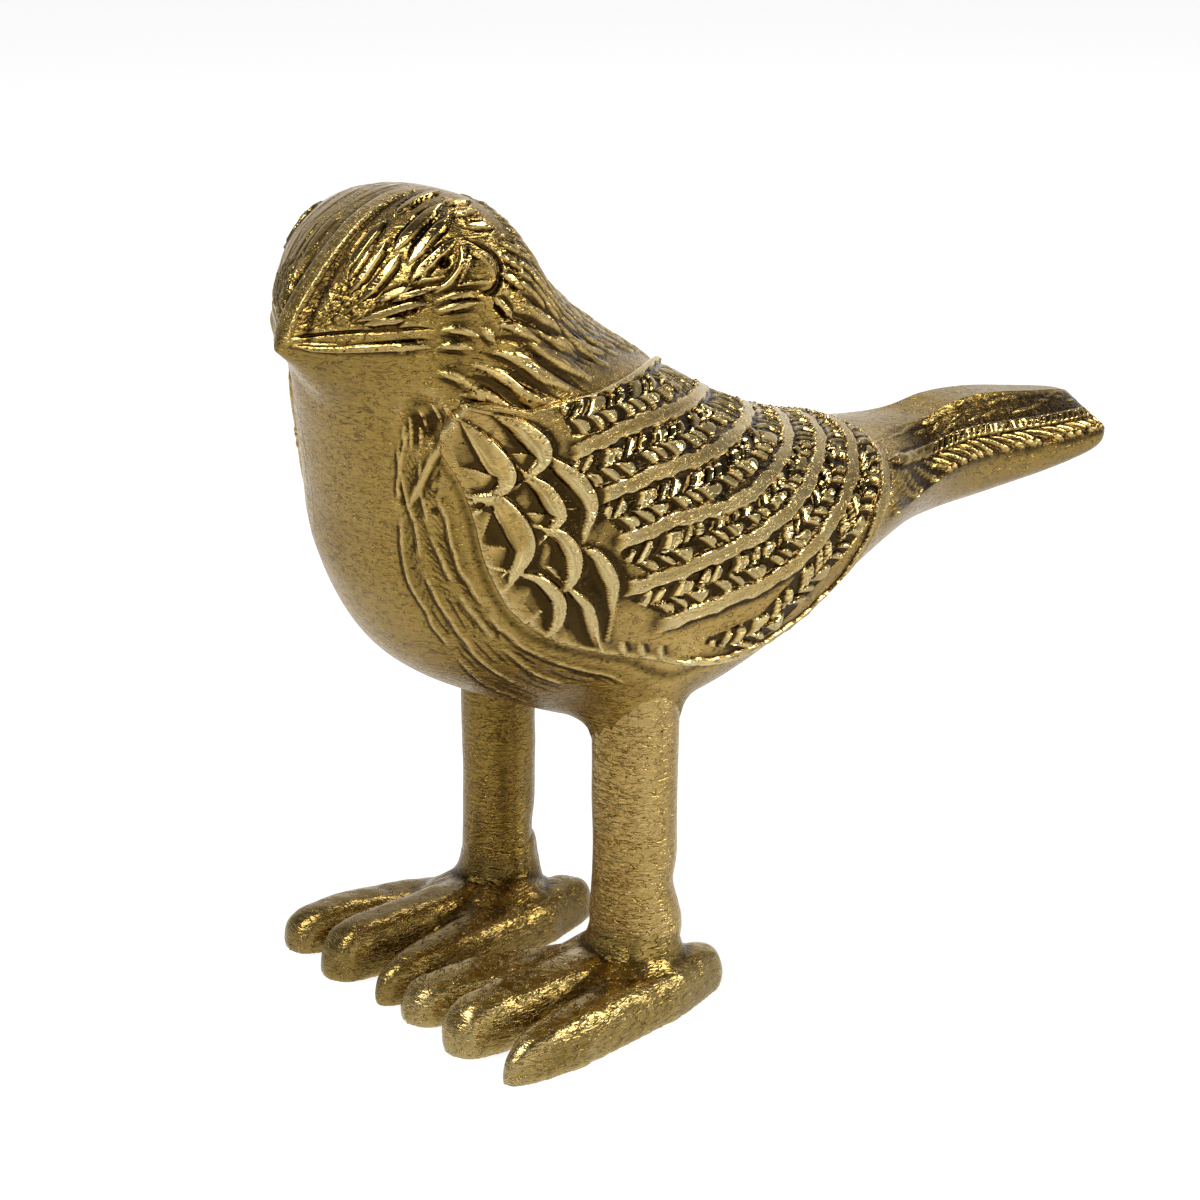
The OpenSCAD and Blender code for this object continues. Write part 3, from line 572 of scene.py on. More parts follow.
def chase_flank(cast, dice, strength):
    """Thin raised lines that sweep from the shoulder under the wing, with short cuts between them."""
    lines = [np.array(line, float) for line in flank_lines]
    for line in lines:
        share = np.linspace(0, 1, 24)
        path = row_at(line, share * (len(line) - 1))
        path[:, 1] += dice.uniform(-0.6, 0.6, 24)
        for first in range(0, 17, 5):
            stretch = path[first:first + dice.integers(5, 8)]
            cast.ridge(stretch, width=1.0, height=0.34 * strength, flat=0.1, ends=0.12)
            cast.groove(stretch - [0, 1.7], width=0.9, depth=0.2 * strength, ends=0.15)
    for low, high in zip(lines[:-1], lines[1:]):
        count = 40
        share = np.linspace(0.04, 0.98, count)
        lows = row_at(low, share * (len(low) - 1))
        highs = row_at(high, share * (len(high) - 1))
        for k in range(int(count * 0.5)):
            cut, end = lows[k] + (highs[k] - lows[k]) * 0.22, lows[k] + (highs[k] - lows[k]) * 0.8
            end = end + [dice.uniform(-0.05, 0.05), 0]
            cast.groove([cut, end], width=0.6, depth=0.16 * strength, ends=0.25)
        for offset in (0.33, 0.66):
            path = lows + (highs - lows) * offset
            path = path[int(count * 0.45):]
            path = path + dice.uniform(-0.3, 0.3, path.shape) * [0.1, 1.6]
            for first in range(0, len(path) - 4, 6):
                cast.groove(path[first:first + 6], width=0.9, depth=0.2 * strength, ends=0.25)
    # shoulder: a hollow with raised strokes in it, a slanting bar, a pit at its end
    for place, radius in (((4.3, 48), 5.0), ((4.55, 43), 4.5), ((4.8, 52), 4.5)):
        cast.dome(place, radius, height=-0.75 * strength)
    strokes = [[(4.13, 42), (4.83, 38)], [(4.16, 47), (4.68, 46)], [(4.29, 53), (4.75, 53)],
               [(4.2, 39), (4.6, 36)], [(4.4, 57), (4.9, 58)], [(4.5, 44), (4.9, 42)]]
    for stroke in strokes:
        cast.ridge(stroke, width=1.0, height=0.6 * strength, flat=0.1)
    cast.ridge([(5.02, 51), (5.36, 41), (5.77, 32)], width=2.0, height=0.6 * strength, flat=0.2, ends=0.2)
    cast.dome((5.64, 29), radius=1.0, height=-0.6 * strength)
    cast.dome((5.99, 41), radius=0.9, height=-0.5 * strength)
    curls = 30
    for _ in range(curls):
        s, a = dice.uniform(5.1, 5.9), dice.uniform(36, 52)
        curl = [(s, a), (s + dice.uniform(0.08, 0.16), a - 3)]
        cast.groove(curl, width=0.6, depth=0.2 * strength, ends=0.2)
    # soft undercut below the lower edge of the wing
    edge = np.column_stack([wing_low[1:-1, 0], wing_low[1:-1, 1] - 1.8])
    cast.groove(edge, width=3.4, depth=0.2, ends=0.12)


# Tail feathers: a nicked rib down the facet, with barbs to both sides that end in points on its edges
tail_rib = np.array([(11.9, 134), (13, 124), (14.8, 118), (16.5, 118), (17.9, 124)])


def chase_tail(cast, dice):
    """One long feather down the facet, on a dark ground."""
    low, high = facet_angle + 2, strip_angle - 3
    facet = smooth01((cast.angle - low) / 4) * smooth01((high - cast.angle) / 4)
    cast.stain(0.9 * facet * smooth01(cast.u - 12))
    rib = trail(tail_rib, spacing=0.5)
    cast.ridge(rib, width=3.3, height=0.7, flat=0.6, ends=0.05)
    along = way_along(rib)
    nick_pitch, barb_step = 1.9, 0.27
    nicks = np.arange(0.8, along[-1], nick_pitch)
    nicks = np.interp(nicks, along, np.linspace(0, len(tail_rib) - 1, len(rib)))
    for s, a in row_at(tail_rib, nicks):
        turn = dice.uniform(-0.04, 0.14)
        cast.groove([(s - turn, a - 9), (s + turn, a + 9)], width=0.8, depth=dice.uniform(0.2, 0.5),
                    ends=0.2)
    for s in np.arange(11.6, 17.7, barb_step):
        s = s + dice.uniform(-0.05, 0.05)
        a = np.interp(s, *tail_rib.T)
        reach = dice.uniform(0.4, 0.75) * min(1, (18.2 - s) / 1.2)
        barb = trail([(s, a - 8), (s + reach * 0.55, 104), (s + reach, low)])
        cast.ridge(barb, width=dice.uniform(1.6, 2.1), height=dice.uniform(0.4, 0.75), flat=0.1, ends=0.35)
        cast.groove(barb + [0, 0, 1.0], width=1.0, depth=0.35)
        cast.ridge([(s + reach * 0.75, 99), (s + reach, 91)], width=2.0, height=0.9, flat=0.1)
        b = dice.uniform(a + 10, strip_angle - 5)
        speck = trail([(s, b), (s + dice.uniform(0.25, 0.5), b + dice.uniform(-2, 7))])
        cast.ridge(speck, width=dice.uniform(0.8, 1.3), height=dice.uniform(0.12, 0.3), flat=0.1, ends=0.35)
        cast.groove(speck + [0, 0, -0.9], width=0.7, depth=0.15, ends=0.35)


# rings of points, closer together where the chasing is fine
rings_per_section = [20, 24, 28, 32, 32, 32, 28, 24, 20, 16, 14, 12, 13]
body_stations = np.concatenate([station + np.arange(count) / count
                                for station, count in enumerate(rings_per_section)] + [[tail_joint]])
skin_columns, inner_columns = 290, 14
hollow_from, hollow_to = 3, 11


def body_half(name, side, leg_radius, seed):
    dice = np.random.default_rng(seed)
    u, angle = np.meshgrid(body_stations, np.linspace(0, 180, skin_columns), indexing="ij")
    cast = Chasing(u, angle)
    # the right side is chased faintly, as the little of it that shows is nearly smooth
    for chase, far in ((chase_head, 0.15), (chase_neck, 0.7), (chase_flank, 0.12)):
        chase(cast, dice, 1 if side > 0 else far)
    chase_tail(cast, dice)
    fade = cast.seam_fade()
    cast.fade(fade)
    flush = np.where(cast.angle > 90, seam_crest * crest_at(cast.u), 0)
    cast.form = flush + (cast.form - flush) * fade - dish_at(cast.u, cast.angle)
    skin = cast.worked()
    skin[:, 0, 0] = skin[:, -1, 0] = 0
    skin[..., 2] = np.minimum(skin[..., 2], crown_height)
    # the belly is drawn down round the top of the leg
    gap = np.hypot(skin[..., 0] - leg_x, skin[..., 1] - leg_y) - leg_radius + hip_lap
    fillet = np.maximum(hip_fillet - hip_taper * (skin[..., 1] - leg_y), least_hip_fillet)
    near = 1 - clamp01(gap / fillet)
    skin[..., 2] -= np.where(angle < 88, hip_fillet * (1 - np.sqrt(1 - near**2)), 0)
    # inside: the cavity wall where the casting is hollow, the flat seam face elsewhere
    core = Chasing(*np.meshgrid(body_stations, np.linspace(0, 180, inner_columns), indexing="ij"))
    core.form -= shell_wall + dish_at(core.u, core.angle)
    hollow = core.worked()
    hollow[..., 0] = np.maximum(hollow[..., 0], 0)
    share = np.linspace(0, 1, inner_columns + 2)[1:-1, None]
    seam = skin[:, None, 0] * (1 - share) + skin[:, None, -1] * share
    is_hollow = (body_stations > hollow_from) & (body_stations < hollow_to)
    inside = np.where(is_hollow[:, None, None], hollow, seam)
    inside[:, 0, 0] = inside[:, -1, 0] = 0
    points = np.concatenate([skin, inside[:, ::-1]], axis=1) * [side, 1, 1]
    return dress(rolled(name, points, cast.looks()), satin_brass)


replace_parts(body_half("left_body_casting", 1, left_leg_radius, 11), "left_body_shell")
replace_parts(body_half("right_body_casting", -1, right_leg_radius, 12), "right_body_shell")

# Wings. Each is one brass casting, bedded in a dish of the flank: a rounded lower edge, rows of
# hollowed scales on the shoulder, and seven smooth bands that run up to the back with barbs cut
# between them like a feather's. The crests are buffed bright and the cuts are left dark.

# How far a wing stands out of the flank, in its middle and at its edges
wing_rise, wing_edge = 1.4, 0.6
# Each smooth band, from its lower end up to the back
band_lines = [
    [(6, 100), (6.8, 122), (7.5, 142), (8.2, 163), (8.73, 180)],
    [(6.7, 95), (7.45, 120), (8.35, 142), (9, 162), (9.5, 180)],
    [(7.35, 95), (7.95, 113), (8.8, 132), (9.55, 155), (10.17, 180)],
    [(7.85, 90), (8.4, 105), (9.2, 119), (10, 145), (10.7, 180)],
    [(8.2, 81), (8.85, 96), (9.5, 110), (10.2, 130), (10.8, 155), (11.14, 180)],
    [(8.8, 75), (9.3, 87), (9.9, 98), (10.45, 110), (11, 132), (11.4, 160), (11.5, 180)],
    [(9.2, 63), (9.95, 70), (10.7, 74), (11.2, 84), (11.5, 110), (11.75, 140), (11.85, 180)],
]
scale_lines = [
    ([(5.01, 62), (5.73, 71), (6.18, 74), (6.32, 70), (6.21, 62)], 4.3),
    ([(6.06, 57), (6.32, 67), (6.8, 73), (7.14, 71), (7.27, 60)], 4.3),
    ([(5.37, 74), (5.79, 83), (6.25, 89), (6.48, 87), (6.4, 77)], 3.6),
    ([(6.28, 77), (6.75, 85), (7.14, 85), (7.14, 77)], 3.2),
    ([(6.33, 87), (7.01, 95), (7.4, 94), (7.52, 86)], 3.2),
    ([(7.03, 77), (7.28, 82), (7.56, 82), (7.73, 77), (7.73, 70)], 3),
    ([(7.55, 83), (7.79, 86), (8.12, 83), (8.31, 75)], 2.8),
    ([(7.21, 63), (7.44, 69), (7.76, 70), (7.95, 65), (8.01, 58)], 2.4),
    ([(7.73, 73), (8.09, 73), (8.51, 63)], 2),
]
barb_pitch = 4.8
most_barbs = 80

# Buffed brass: its crests were rubbed on a wheel, so they shine a paler gold than the satin body, and
# the ground that the wheel didn't reach is nearly black
buffed_brass = old_brass("buffed_chased_brass", "#443418", "#BC9C58", "#DCC488", 0.22, 0.13, 1.6, 0.1)


def chase_bands(cast, dice):
    """Seven smooth strips, each above a step, and the barbs that fill the ground between them."""
    u, angle = cast.u, cast.angle
    # the ground slopes up to a strip's front edge, and the strip ends in a step behind it
    reach_of_band, strip_front, strip_back, strip_height = 9, -1.3, 1.75, 0.8
    slope_height, slope_length, step_length = 0.3, 5.5, 0.5
    longest_barb, barb_clearance, barb_slant = 3.4, 1.3, 1.05
    top, barbs, gaps = np.zeros((3, len(u)))
    for line in band_lines:
        near, distance, right, share = cast.beside(line, reach_of_band)
        wave = 0.2 * np.sin(share * 55 + line[0][1]) + 0.12 * np.sin(share * 130)
        slope = slope_height * clamp01(1 + (right - strip_front) / slope_length)
        strip = strip_height * smooth01((strip_back + wave - right) / step_length)
        shelf = np.where(right < strip_front + wave, slope, strip)
        shelf = np.where(distance < reach_of_band, shelf * smooth01(share / 0.05), 0)
        top[near] = np.maximum(top[near], shelf)
    cast.form += top
    for line, following in zip(band_lines[:-1], band_lines[1:]):
        line, following = np.array(line, float)[:, ::-1].T, np.array(following, float)[:, ::-1].T
        first = max(line[0][0], following[0][0]) - 1
        angles = np.linspace(first, 180, 90)
        fore, aft = np.interp(angles, *line), np.interp(angles, *following)
        path = bird_skin((fore + aft) / 2, angles)
        ahead = unit(np.gradient(path, axis=0))
        across = bird_skin(aft, angles) - bird_skin(fore, angles)
        lean = (across * ahead).sum(1)
        wide = lengths_of(across - lean[:, None] * ahead)
        # each point's place along the ground and aside from its middle
        start, end = np.interp(angle, *line), np.interp(angle, *following)
        share = (u - start) / (end - start) - 0.5
        along = np.interp(angle, angles, way_along(path)) + share * np.interp(angle, angles, lean)
        room = np.interp(angle, angles, wide)
        aside = share * room
        half = np.minimum(room / 2 - barb_clearance, longest_barb)
        reach = np.abs(aside) / half.clip(0.5)
        hand = (aside > 0).astype(int)
        phase = (along - barb_slant * np.abs(aside) + 0.5 * hand) / barb_pitch + 3
        phase += 0.25 * np.sin(phase * 2.2 + 3 * hand)
        number = np.floor(phase).astype(int).clip(0, most_barbs - 1)
        long, tall, broad, late = (
            dice.uniform(*span, (2, most_barbs))[hand, number]
            for span in ((1.0, 1.35), (0.5, 1.2), (0.68, 0.95), (0, 0.12)))
        reach = (reach * long).clip(0, 1)
        spread = broad * (0.6 + 0.4 * smooth01(reach / 0.3)) * np.sqrt(1 - 0.95 * reach ** 3)
        t = (phase - np.floor(phase) - late) / spread
        barb = tall * (0.5 + 0.5 * t.clip(0, 1)) * smooth01(t / 0.25)
        barb *= smooth01((1 - t) / 0.18) * (1 - 0.5 * (reach - 0.45) ** 2)
        nick = smooth01(1 - np.abs((t * 3) % 1 - 0.5) / 0.3) * 0.35 * (tall > 0.7)
        live = (np.abs(share) < 0.5) * (angle > first) * smooth01((half - np.abs(aside)) / 0.6)
        live = live * smooth01((154 - angle) / 8)
        barbs = np.maximum(barbs, (barb - nick) * live)
        gaps = np.minimum(gaps, -0.25 * live * (1 - smooth01(t / 0.2) * smooth01((1 - t) / 0.2)))
        # over the back the barbs turn into fine curled strokes
        for a in np.arange(146, 179, 2.4):
            a = a + dice.uniform(-0.8, 0.8)
            start, end = np.interp(a, *line), np.interp(a, *following)
            curl = dice.uniform(1.0, 4.5)
            path = trail([(start + share * (end - start), min(a + rise * curl, 179))
                          for share, rise in ((0.25, 0), (0.6, 1), (0.95, 0.3))])
            cast.ridge(path, width=dice.uniform(1.1, 1.6), height=dice.uniform(0.35, 0.75), flat=0)
            cast.groove(path + [0, 0, -0.8], width=0.8, depth=0.3)
    cast.raised = np.maximum(cast.raised, barbs)
    cast.sunk = np.minimum(cast.sunk, gaps)


def chase_scales(cast, dice):
    """Nine hollowed scales on the shoulder, with cuts across their lips and hatching in the hollows."""
    hatches = 22
    for line, width in scale_lines:
        path = trail(line, spacing=0.5)
        cast.scale(path, width, height=1.3, hollow=0.5)
        inward = unit(np.cross(np.gradient(path, axis=0), [1, 0, 0]))
        for k in range(2, len(path) - 2):
            if dice.random() < 0.75:
                cut = np.array([path[k] - 0.2 * inward[k], path[k] + dice.uniform(0.8, 1.6) * inward[k]])
                cast.groove(cut + dice.uniform(-0.2, 0.2, 3), width=0.5, depth=0.25)
        for _ in range(hatches):
            k = dice.integers(2, len(path) - 2)
            spot = path[k] + inward[k] * dice.uniform(3.0, 5.5)
            scratch = np.array([spot, spot + dice.uniform(-1.6, 1.6, 3) * [0.2, 1, 0.6]])
            cast.ridge(scratch, width=0.6, height=0.16, flat=0)


def chase_lower_band(cast, dice):
    """Teeth between the last strip and the rounded lower edge, with slanted gouges between them."""
    last = np.array(band_lines[-1], float)
    first_tooth, last_tooth, tooth_pitch = 8.75, 11.3, 0.19
    long_until, long_reach, short_reach = 9.3, 9, 6
    for s in np.arange(first_tooth, last_tooth, tooth_pitch):
        edge = low_edge(s)
        strip = np.interp(s, *last.T) if s > last[0, 0] else edge + long_reach
        top = edge + (short_reach if s > long_until else long_reach)
        lean = dice.uniform(0.1, 0.18)
        fade = min(1, (last_tooth - s) / 1.2)
        tooth = trail([(s - lean, min(top, strip - 2)), (s + 0.4 * lean, edge + 2.6)])
        cast.ridge(tooth, width=1.6, height=0.5 * fade, flat=0.2)
        cast.groove(tooth + [0, 1.1, 0.4], width=1.2, depth=0.5 * fade)


wing_rows, wing_columns, under_columns = 300, 290, 12
# radius of the round on the lower edge and on the front edge, and how far an edge sinks into the flank
low_round, front_round, edge_sink = 1.9, 0.9, 0.35
# how far the underside stays off the dish, and how deep it lies at least
bed_gap, least_bed = 0.3, 0.5


def wing(name, side, seed):
    dice = np.random.default_rng(seed)
    stations = np.linspace(wing_first, wing_last, wing_rows)[:, None]
    u = np.repeat(stations, wing_columns, axis=1)
    low, top = low_edge(u), top_edge(u)
    angle = low + (top - low) * np.linspace(0, 1, wing_columns)
    cast = Chasing(u, angle)
    up = (angle - low) / (180 - low)
    full = smooth01((u - wing_first) / 1.6) * smooth01((wing_last - u) / 3)
    cast.form += (wing_edge + full * (wing_rise - wing_edge) * (1 - up)).ravel()
    chase_bands(cast, dice)
    chase_scales(cast, dice)
    chase_lower_band(cast, dice)
    # the edges are rounded over and sink into the flank
    at_back = top > 179.9
    spots = cast.points.reshape(*u.shape, 3)
    from_low, from_top = lengths_of(spots - spots[:, :1]), lengths_of(spots - spots[:, -1:])
    edges = rounded(from_low / low_round) * np.where(at_back, 1, rounded(from_top / front_round))
    edges *= smooth01((u - wing_first) / 0.25) * smooth01((wing_last - u) / 0.5)
    edges = edges.ravel()
    cast.fade(edges * smooth01((180 - angle) / 2.5).ravel())
    cast.lips *= edges
    cast.form = cast.form * edges - edge_sink * (1 - edges)
    skin = cast.worked()
    skin[at_back[:, -1], -1, 0] = 0
    bed = Chasing(np.repeat(stations, under_columns, axis=1),
                  low[:, :1] + (top - low)[:, :1] * np.linspace(0, 1, under_columns))
    bed.form += np.minimum(bed_gap - dish_at(bed.u, bed.angle), -least_bed)
    under = bed.worked()
    under[..., 0] = np.maximum(under[..., 0], 0)
    points = np.concatenate([skin, under[:, ::-1]], axis=1) * [side, 1, 1]
    return dress(rolled(name, points, cast.looks()), buffed_brass)


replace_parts(wing("left_wing_casting", 1, 21), "left_wing")
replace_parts(wing("right_wing_casting", -1, 22), "right_wing")

# Tail. A solid casting, tenoned between the halves, with its joint dressed flush. It is planed to a
# flat strip on top and a sloping facet down each side, and the facets are chased as one long feather.
tail_columns = 320
# its end is rounded over from this station on, in smaller steps
end_round_from = 17.6


def tail_casting():
    stations = np.concatenate([np.linspace(tail_joint, end_round_from, 140),
                               np.linspace(end_round_from, tail_end, 51)[1:]])
    u, angle = np.meshgrid(stations, np.linspace(0, 180, tail_columns // 2 + 1), indexing="ij")
    halves, looks = [], []
    for side, seed in ((1, 31), (-1, 32)):
        cast = Chasing(u, angle)
        chase_tail(cast, np.random.default_rng(seed))
        cast.fade(cast.seam_fade() * smooth01((17.9 - cast.u) / 0.9))
        halves.append(cast.worked() * [side, 1, 1])
        looks.append(cast.looks())
    ring = np.concatenate([halves[0], halves[1][:, -2:0:-1]], axis=1)
    left, right = looks
    both = {key: np.concatenate([left[key], right[key][:, -2:0:-1], left[key][:, :1]], axis=1)
            for key in left}
    middle = ring.mean(axis=1, keepdims=True)
    shrink = 1 - (1 - rounded((tail_end - stations) / 0.55)[:, None, None]) * 0.3
    ring = middle + (ring - middle) * np.concatenate([shrink, np.ones_like(shrink), shrink], axis=2)
    return dress(rolled("tail_casting", ring, both), satin_brass)


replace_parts(tail_casting(), "tail")

# Legs. Brass bar, filed round by hand and dressed with a hammer, so that each has flats, a notch and
# a swelling above its foot. Short curved file marks cover it.

# Filed brass: the file leaves it lighter and duller than the chased castings. The right leg gets a darker
# copy of it: painted shade standing in for the shadow that the body and the near leg throw on the far leg.
filed_brass = old_brass("filed_brass", "#45341A", "#B49450", "#CEB274", 0.24, 0.4, 2.0, 0.2)
painted_shade_brass = old_brass("painted_shade_filed_brass", "#382A12", "#886E34", "#A4884A", 0.24, 0.4, 2.0, 0.2)
leg_rows, leg_columns = 170, 150
hammer_marks = 26
leg_bottom, leg_top = 9, 70
leg_radius_shares = np.array([[0, 1], [12, 1], [17, 1], [22, 0.98], [35, 0.96], [48, 0.98], [70, 1]])


def dent(z, turn, height, facing, depth, spread, width):
    """A smooth dent or swelling in the side of a bar."""
    around = (turn - facing + 180) % 360 - 180
    return depth * np.exp(-((z - height) / spread) ** 2) * np.exp(-(around / width) ** 2)


def wear(piece, reach, depth):
    """Stores how far each point stands out of (1) or lies below (0) the surface round it."""
    mesh = piece.data
    count = len(mesh.vertices)
    spots = np.empty(count * 3)
    mesh.vertices.foreach_get("co", spots)
    spots = spots.reshape(-1, 3) / MM
    normals = np.empty(count * 3)
    mesh.vertices.foreach_get("normal", normals)
    edges = np.empty(len(mesh.edges) * 2, int)
    mesh.edges.foreach_get("vertices", edges)
    a, b = edges[0::2], edges[1::2]
    short = lengths_of(spots[a] - spots[b]) < 2
    a, b = a[short], b[short]
    spacing = np.median(lengths_of(spots[a] - spots[b]))
    neighbours = np.maximum(np.bincount(a, minlength=count) + np.bincount(b, minlength=count), 1)
    soft = spots.copy()
    for _ in range(int(2 * (reach / spacing) ** 2)):
        for axis in range(3):
            total = np.bincount(a, soft[b, axis], count) + np.bincount(b, soft[a, axis], count)
            soft[:, axis] = 0.4 * soft[:, axis] + 0.6 * total / neighbours
    proud = ((spots - soft) * normals.reshape(-1, 3)).sum(1)
    attribute = mesh.attributes.new("wear", "FLOAT", "POINT")
    attribute.data.foreach_set("value", (0.5 + 0.5 * np.tanh(proud / depth)).astype(np.float32))


def leg(name, side, radius, dents, seed):
    dice = np.random.default_rng(seed)
    z, turn = np.meshgrid(np.linspace(leg_bottom, leg_top, leg_rows),
                          np.linspace(0, 360, leg_columns, endpoint=False), indexing="ij")
    reach = radius * np.interp(z, *leg_radius_shares.T)
    for height, spread, facing, width, depth in dents:
        reach = reach + dent(z, turn, height, facing, depth, spread, width)
    for _ in range(hammer_marks):
        reach = reach + dent(z, turn, dice.uniform(10, 60), dice.uniform(0, 360), dice.uniform(-0.22, 0.16),
                             dice.uniform(3, 9), 30)
    points = np.stack([side * leg_x + reach * np.cos(np.radians(turn)),
                       leg_y + reach * np.sin(np.radians(turn)), z], axis=-1)
    piece = rolled(name, points)
    wear(piece, reach=1.6, depth=0.2)
    # the right leg takes the darker copy of the brass, painted shade for the far leg
    return dress(piece, filed_brass if side > 0 else painted_shade_brass)


# each dent: height, spread up the leg, side it faces, spread round the leg, depth
left_dents = [(24, 4, 51, 45, -0.9), (15, 4, 51, 50, 0.7), (40, 9, 231, 40, 0.3), (17, 6, 231, 50, 0.5)]
right_dents = [(20, 5, 51, 40, -0.9), (9, 5, 40, 50, 0.9), (42, 6, 20, 30, 0.3), (30, 16, 330, 14, -0.45)]
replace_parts(leg("left_leg_bar", 1, left_leg_radius, left_dents, 41), "left_leg")
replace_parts(leg("right_leg_bar", -1, right_leg_radius, right_dents, 42), "right_leg")

# Feet. Rough castings, three fat toes that run back under the leg, dressed with a hammer and a chisel
# and left uneven. The tops are buffed and the hollows between the toes stay dark.

# Hammered brass: small flats that each catch a light, over a brown that buffing left in the hollows.
# The right foot gets a darker copy too: painted shade, like that of its leg.
hammered_brass = old_brass("hammered_brass", "#3E2E12", "#A0864A", "#C8B27A", 0.24, 0.24, 1.4, 0.28)
painted_shade_hammered = old_brass("painted_shade_hammered_brass", "#302410", "#826A36", "#A88E54", 0.25, 0.24, 1.4, 0.28)
toe_spread, toe_reach, heel_reach = 17, 45, 16
toe_width, toe_height = 12.5, 10
toe_tables = [
    [[0.87, -0.97, 0.1, 0.3], [0.87, -0.92, 0.4, 0.62], [0.85, -0.8, 0.66, 0.86],
     [0.77, -0.58, 0.86, 0.95], [0.62, -0.27, 0.98, 0.94], [0.46, 0.12, 1, 0.9],
     [0.33, 0.68, 0.86, 0.86], [0.26, 0.93, 0.6, 0.72], [0.24, 1, 0.2, 0.4]],
    [[-0.09, -1, 0.15, 0.3], [-0.09, -0.96, 0.65, 0.7], [-0.08, -0.86, 0.92, 1],
     [-0.06, -0.62, 1, 1.1], [-0.03, -0.33, 1.1, 1.15], [0, -0.04, 1.1, 1.1]],
    [[-1.02, -0.97, 0.15, 0.3], [-1.01, -0.93, 0.65, 0.6], [-0.96, -0.82, 0.9, 0.8],
     [-0.84, -0.58, 1, 0.88], [-0.62, -0.27, 1.08, 0.82], [-0.35, 0, 1.05, 0.76],
     [-0.2, 0.5, 0.9, 0.7], [-0.12, 0.75, 0.5, 0.55], [-0.09, 0.83, 0.15, 0.3]],
]
# the palm that the toes grow out of, a low broad web from the ankle forward
palm_table = [[0, -0.6, 1.3, 0.5], [0, -0.53, 1.8, 0.68], [0, -0.4, 2.1, 0.88], [0, -0.22, 2.2, 1.1],
              [0, 0, 2.1, 1.25], [0, 0.3, 1.7, 1], [0, 0.6, 1, 0.7]]
toe_round = 3.2
toe_rows, toe_columns, ankle_columns = 60, 24, 60
# cells that the toes and the palm are cast together in
voxel = 0.45


def toe(table, x, y):
    """One toe as a closed mesh, flat underneath."""
    table = np.array(table)
    rows = row_at(table, np.linspace(0, len(table) - 1, toe_rows))
    middle = np.stack([x + rows[:, 0] * toe_spread,
                       y + np.where(rows[:, 1] < 0, rows[:, 1] * toe_reach, rows[:, 1] * heel_reach)], -1)
    way = unit(np.gradient(middle, axis=0))
    turn = np.radians(np.linspace(0, 180, toe_columns))
    across = np.sign(np.cos(turn)) * np.abs(np.cos(turn)) ** (2 / toe_round)
    up = np.sin(turn).clip(0) ** (2 / toe_round)
    half = rows[:, 2:3] * toe_width / 2
    points = np.stack([middle[:, :1] + way[:, 1:] * across * half,
                       middle[:, 1:] - way[:, :1] * across * half, rows[:, 3:4] * toe_height * up], axis=-1)
    return rolled("toe", points)


def apply(piece, kind, **settings):
    """Puts a modifier on the active piece and applies it."""
    modifier = piece.modifiers.new(kind, kind)
    for key, value in settings.items():
        setattr(modifier, key, value)
    bpy.ops.object.modifier_apply(modifier=modifier.name)


# each row of an ankle: height, share of the leg's radius
ankle_shares = np.array([[0, 1.5], [5, 1.42], [8, 1.3], [10, 1.2],
                         [12, 1.12], [14, 1.06], [16, 1.01], [19, 0.94]])
# the larger, the more upright the ankle
ankle_lean = 90
screw_head_radius, screw_head_depth, cutter_height = 4.85, 1, 3
# what the file took off the soles
sole_cut = 0.4
right_toe_shift = 2.55


def foot(name, side, radius, shift):
    x, y = side * leg_x, leg_y
    parts = [toe(table, x + shift, y) for table in toe_tables + [palm_table]]
    turn = np.radians(np.linspace(0, 360, ankle_columns, endpoint=False))
    heights, reach = ankle_shares[:, :1], radius * ankle_shares[:, 1:]
    lean = (ankle_shares[-1, 0] - heights) ** 2 / ankle_lean
    ankle = np.stack([x + reach * np.cos(turn), y - lean + reach * np.sin(turn), heights + 0 * turn], -1)
    parts.append(rolled("ankle", ankle))
    for part in parts:
        part.select_set(True)
    bpy.context.view_layer.objects.active = parts[0]
    bpy.ops.object.join()
    piece = bpy.context.object
    piece.name = piece.data.name = name
    apply(piece, "REMESH", mode="VOXEL", voxel_size=voxel * MM)
    apply(piece, "SMOOTH", factor=0.5, iterations=24)
    for texture_mm, depth in ((8, 0.6), (3.5, 0.28)):
        texture = bpy.data.textures.new("hammer", "CLOUDS")
        texture.noise_scale, texture.noise_depth = texture_mm * MM, 1
        apply(piece, "DISPLACE", texture=texture, texture_coords="LOCAL", strength=depth * MM)
    # the sole is filed flat
    spots = np.empty(len(piece.data.vertices) * 3)
    piece.data.vertices.foreach_get("co", spots)
    heights = spots[2::3]
    heights[heights < sole_cut * MM] = 0
    piece.data.vertices.foreach_set("co", spots)
    # countersunk hole for the screw, open in the sole
    middle = screw_head_depth - cutter_height / 2
    bpy.ops.mesh.primitive_cylinder_add(vertices=48, radius=screw_head_radius * MM, depth=cutter_height * MM,
                                        location=(x * MM, y * MM, middle * MM))
    cutter = bpy.context.object
    bpy.ops.object.transform_apply()
    cutter.select_set(False)
    piece.select_set(True)
    bpy.context.view_layer.objects.active = piece
    apply(piece, "BOOLEAN", object=cutter, operation="DIFFERENCE", solver="EXACT")
    bpy.data.objects.remove(cutter)
    wear(piece, reach=1.6, depth=0.5)
    piece.data.materials.clear()
    # the right foot takes the darker copy of the brass, painted shade like its leg's
    return dress(piece, hammered_brass if side > 0 else painted_shade_hammered)


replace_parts(foot("left_foot_casting", 1, left_leg_radius, 0), "left_foot")
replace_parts(foot("right_foot_casting", -1, right_leg_radius, right_toe_shift), "right_foot")

# Fixings. Plain steel: a screw up through each foot, a stud in the top of each leg, and the dowels of
# the seam. Only the screw heads show, sunk in the soles, with the rings that the lathe left.

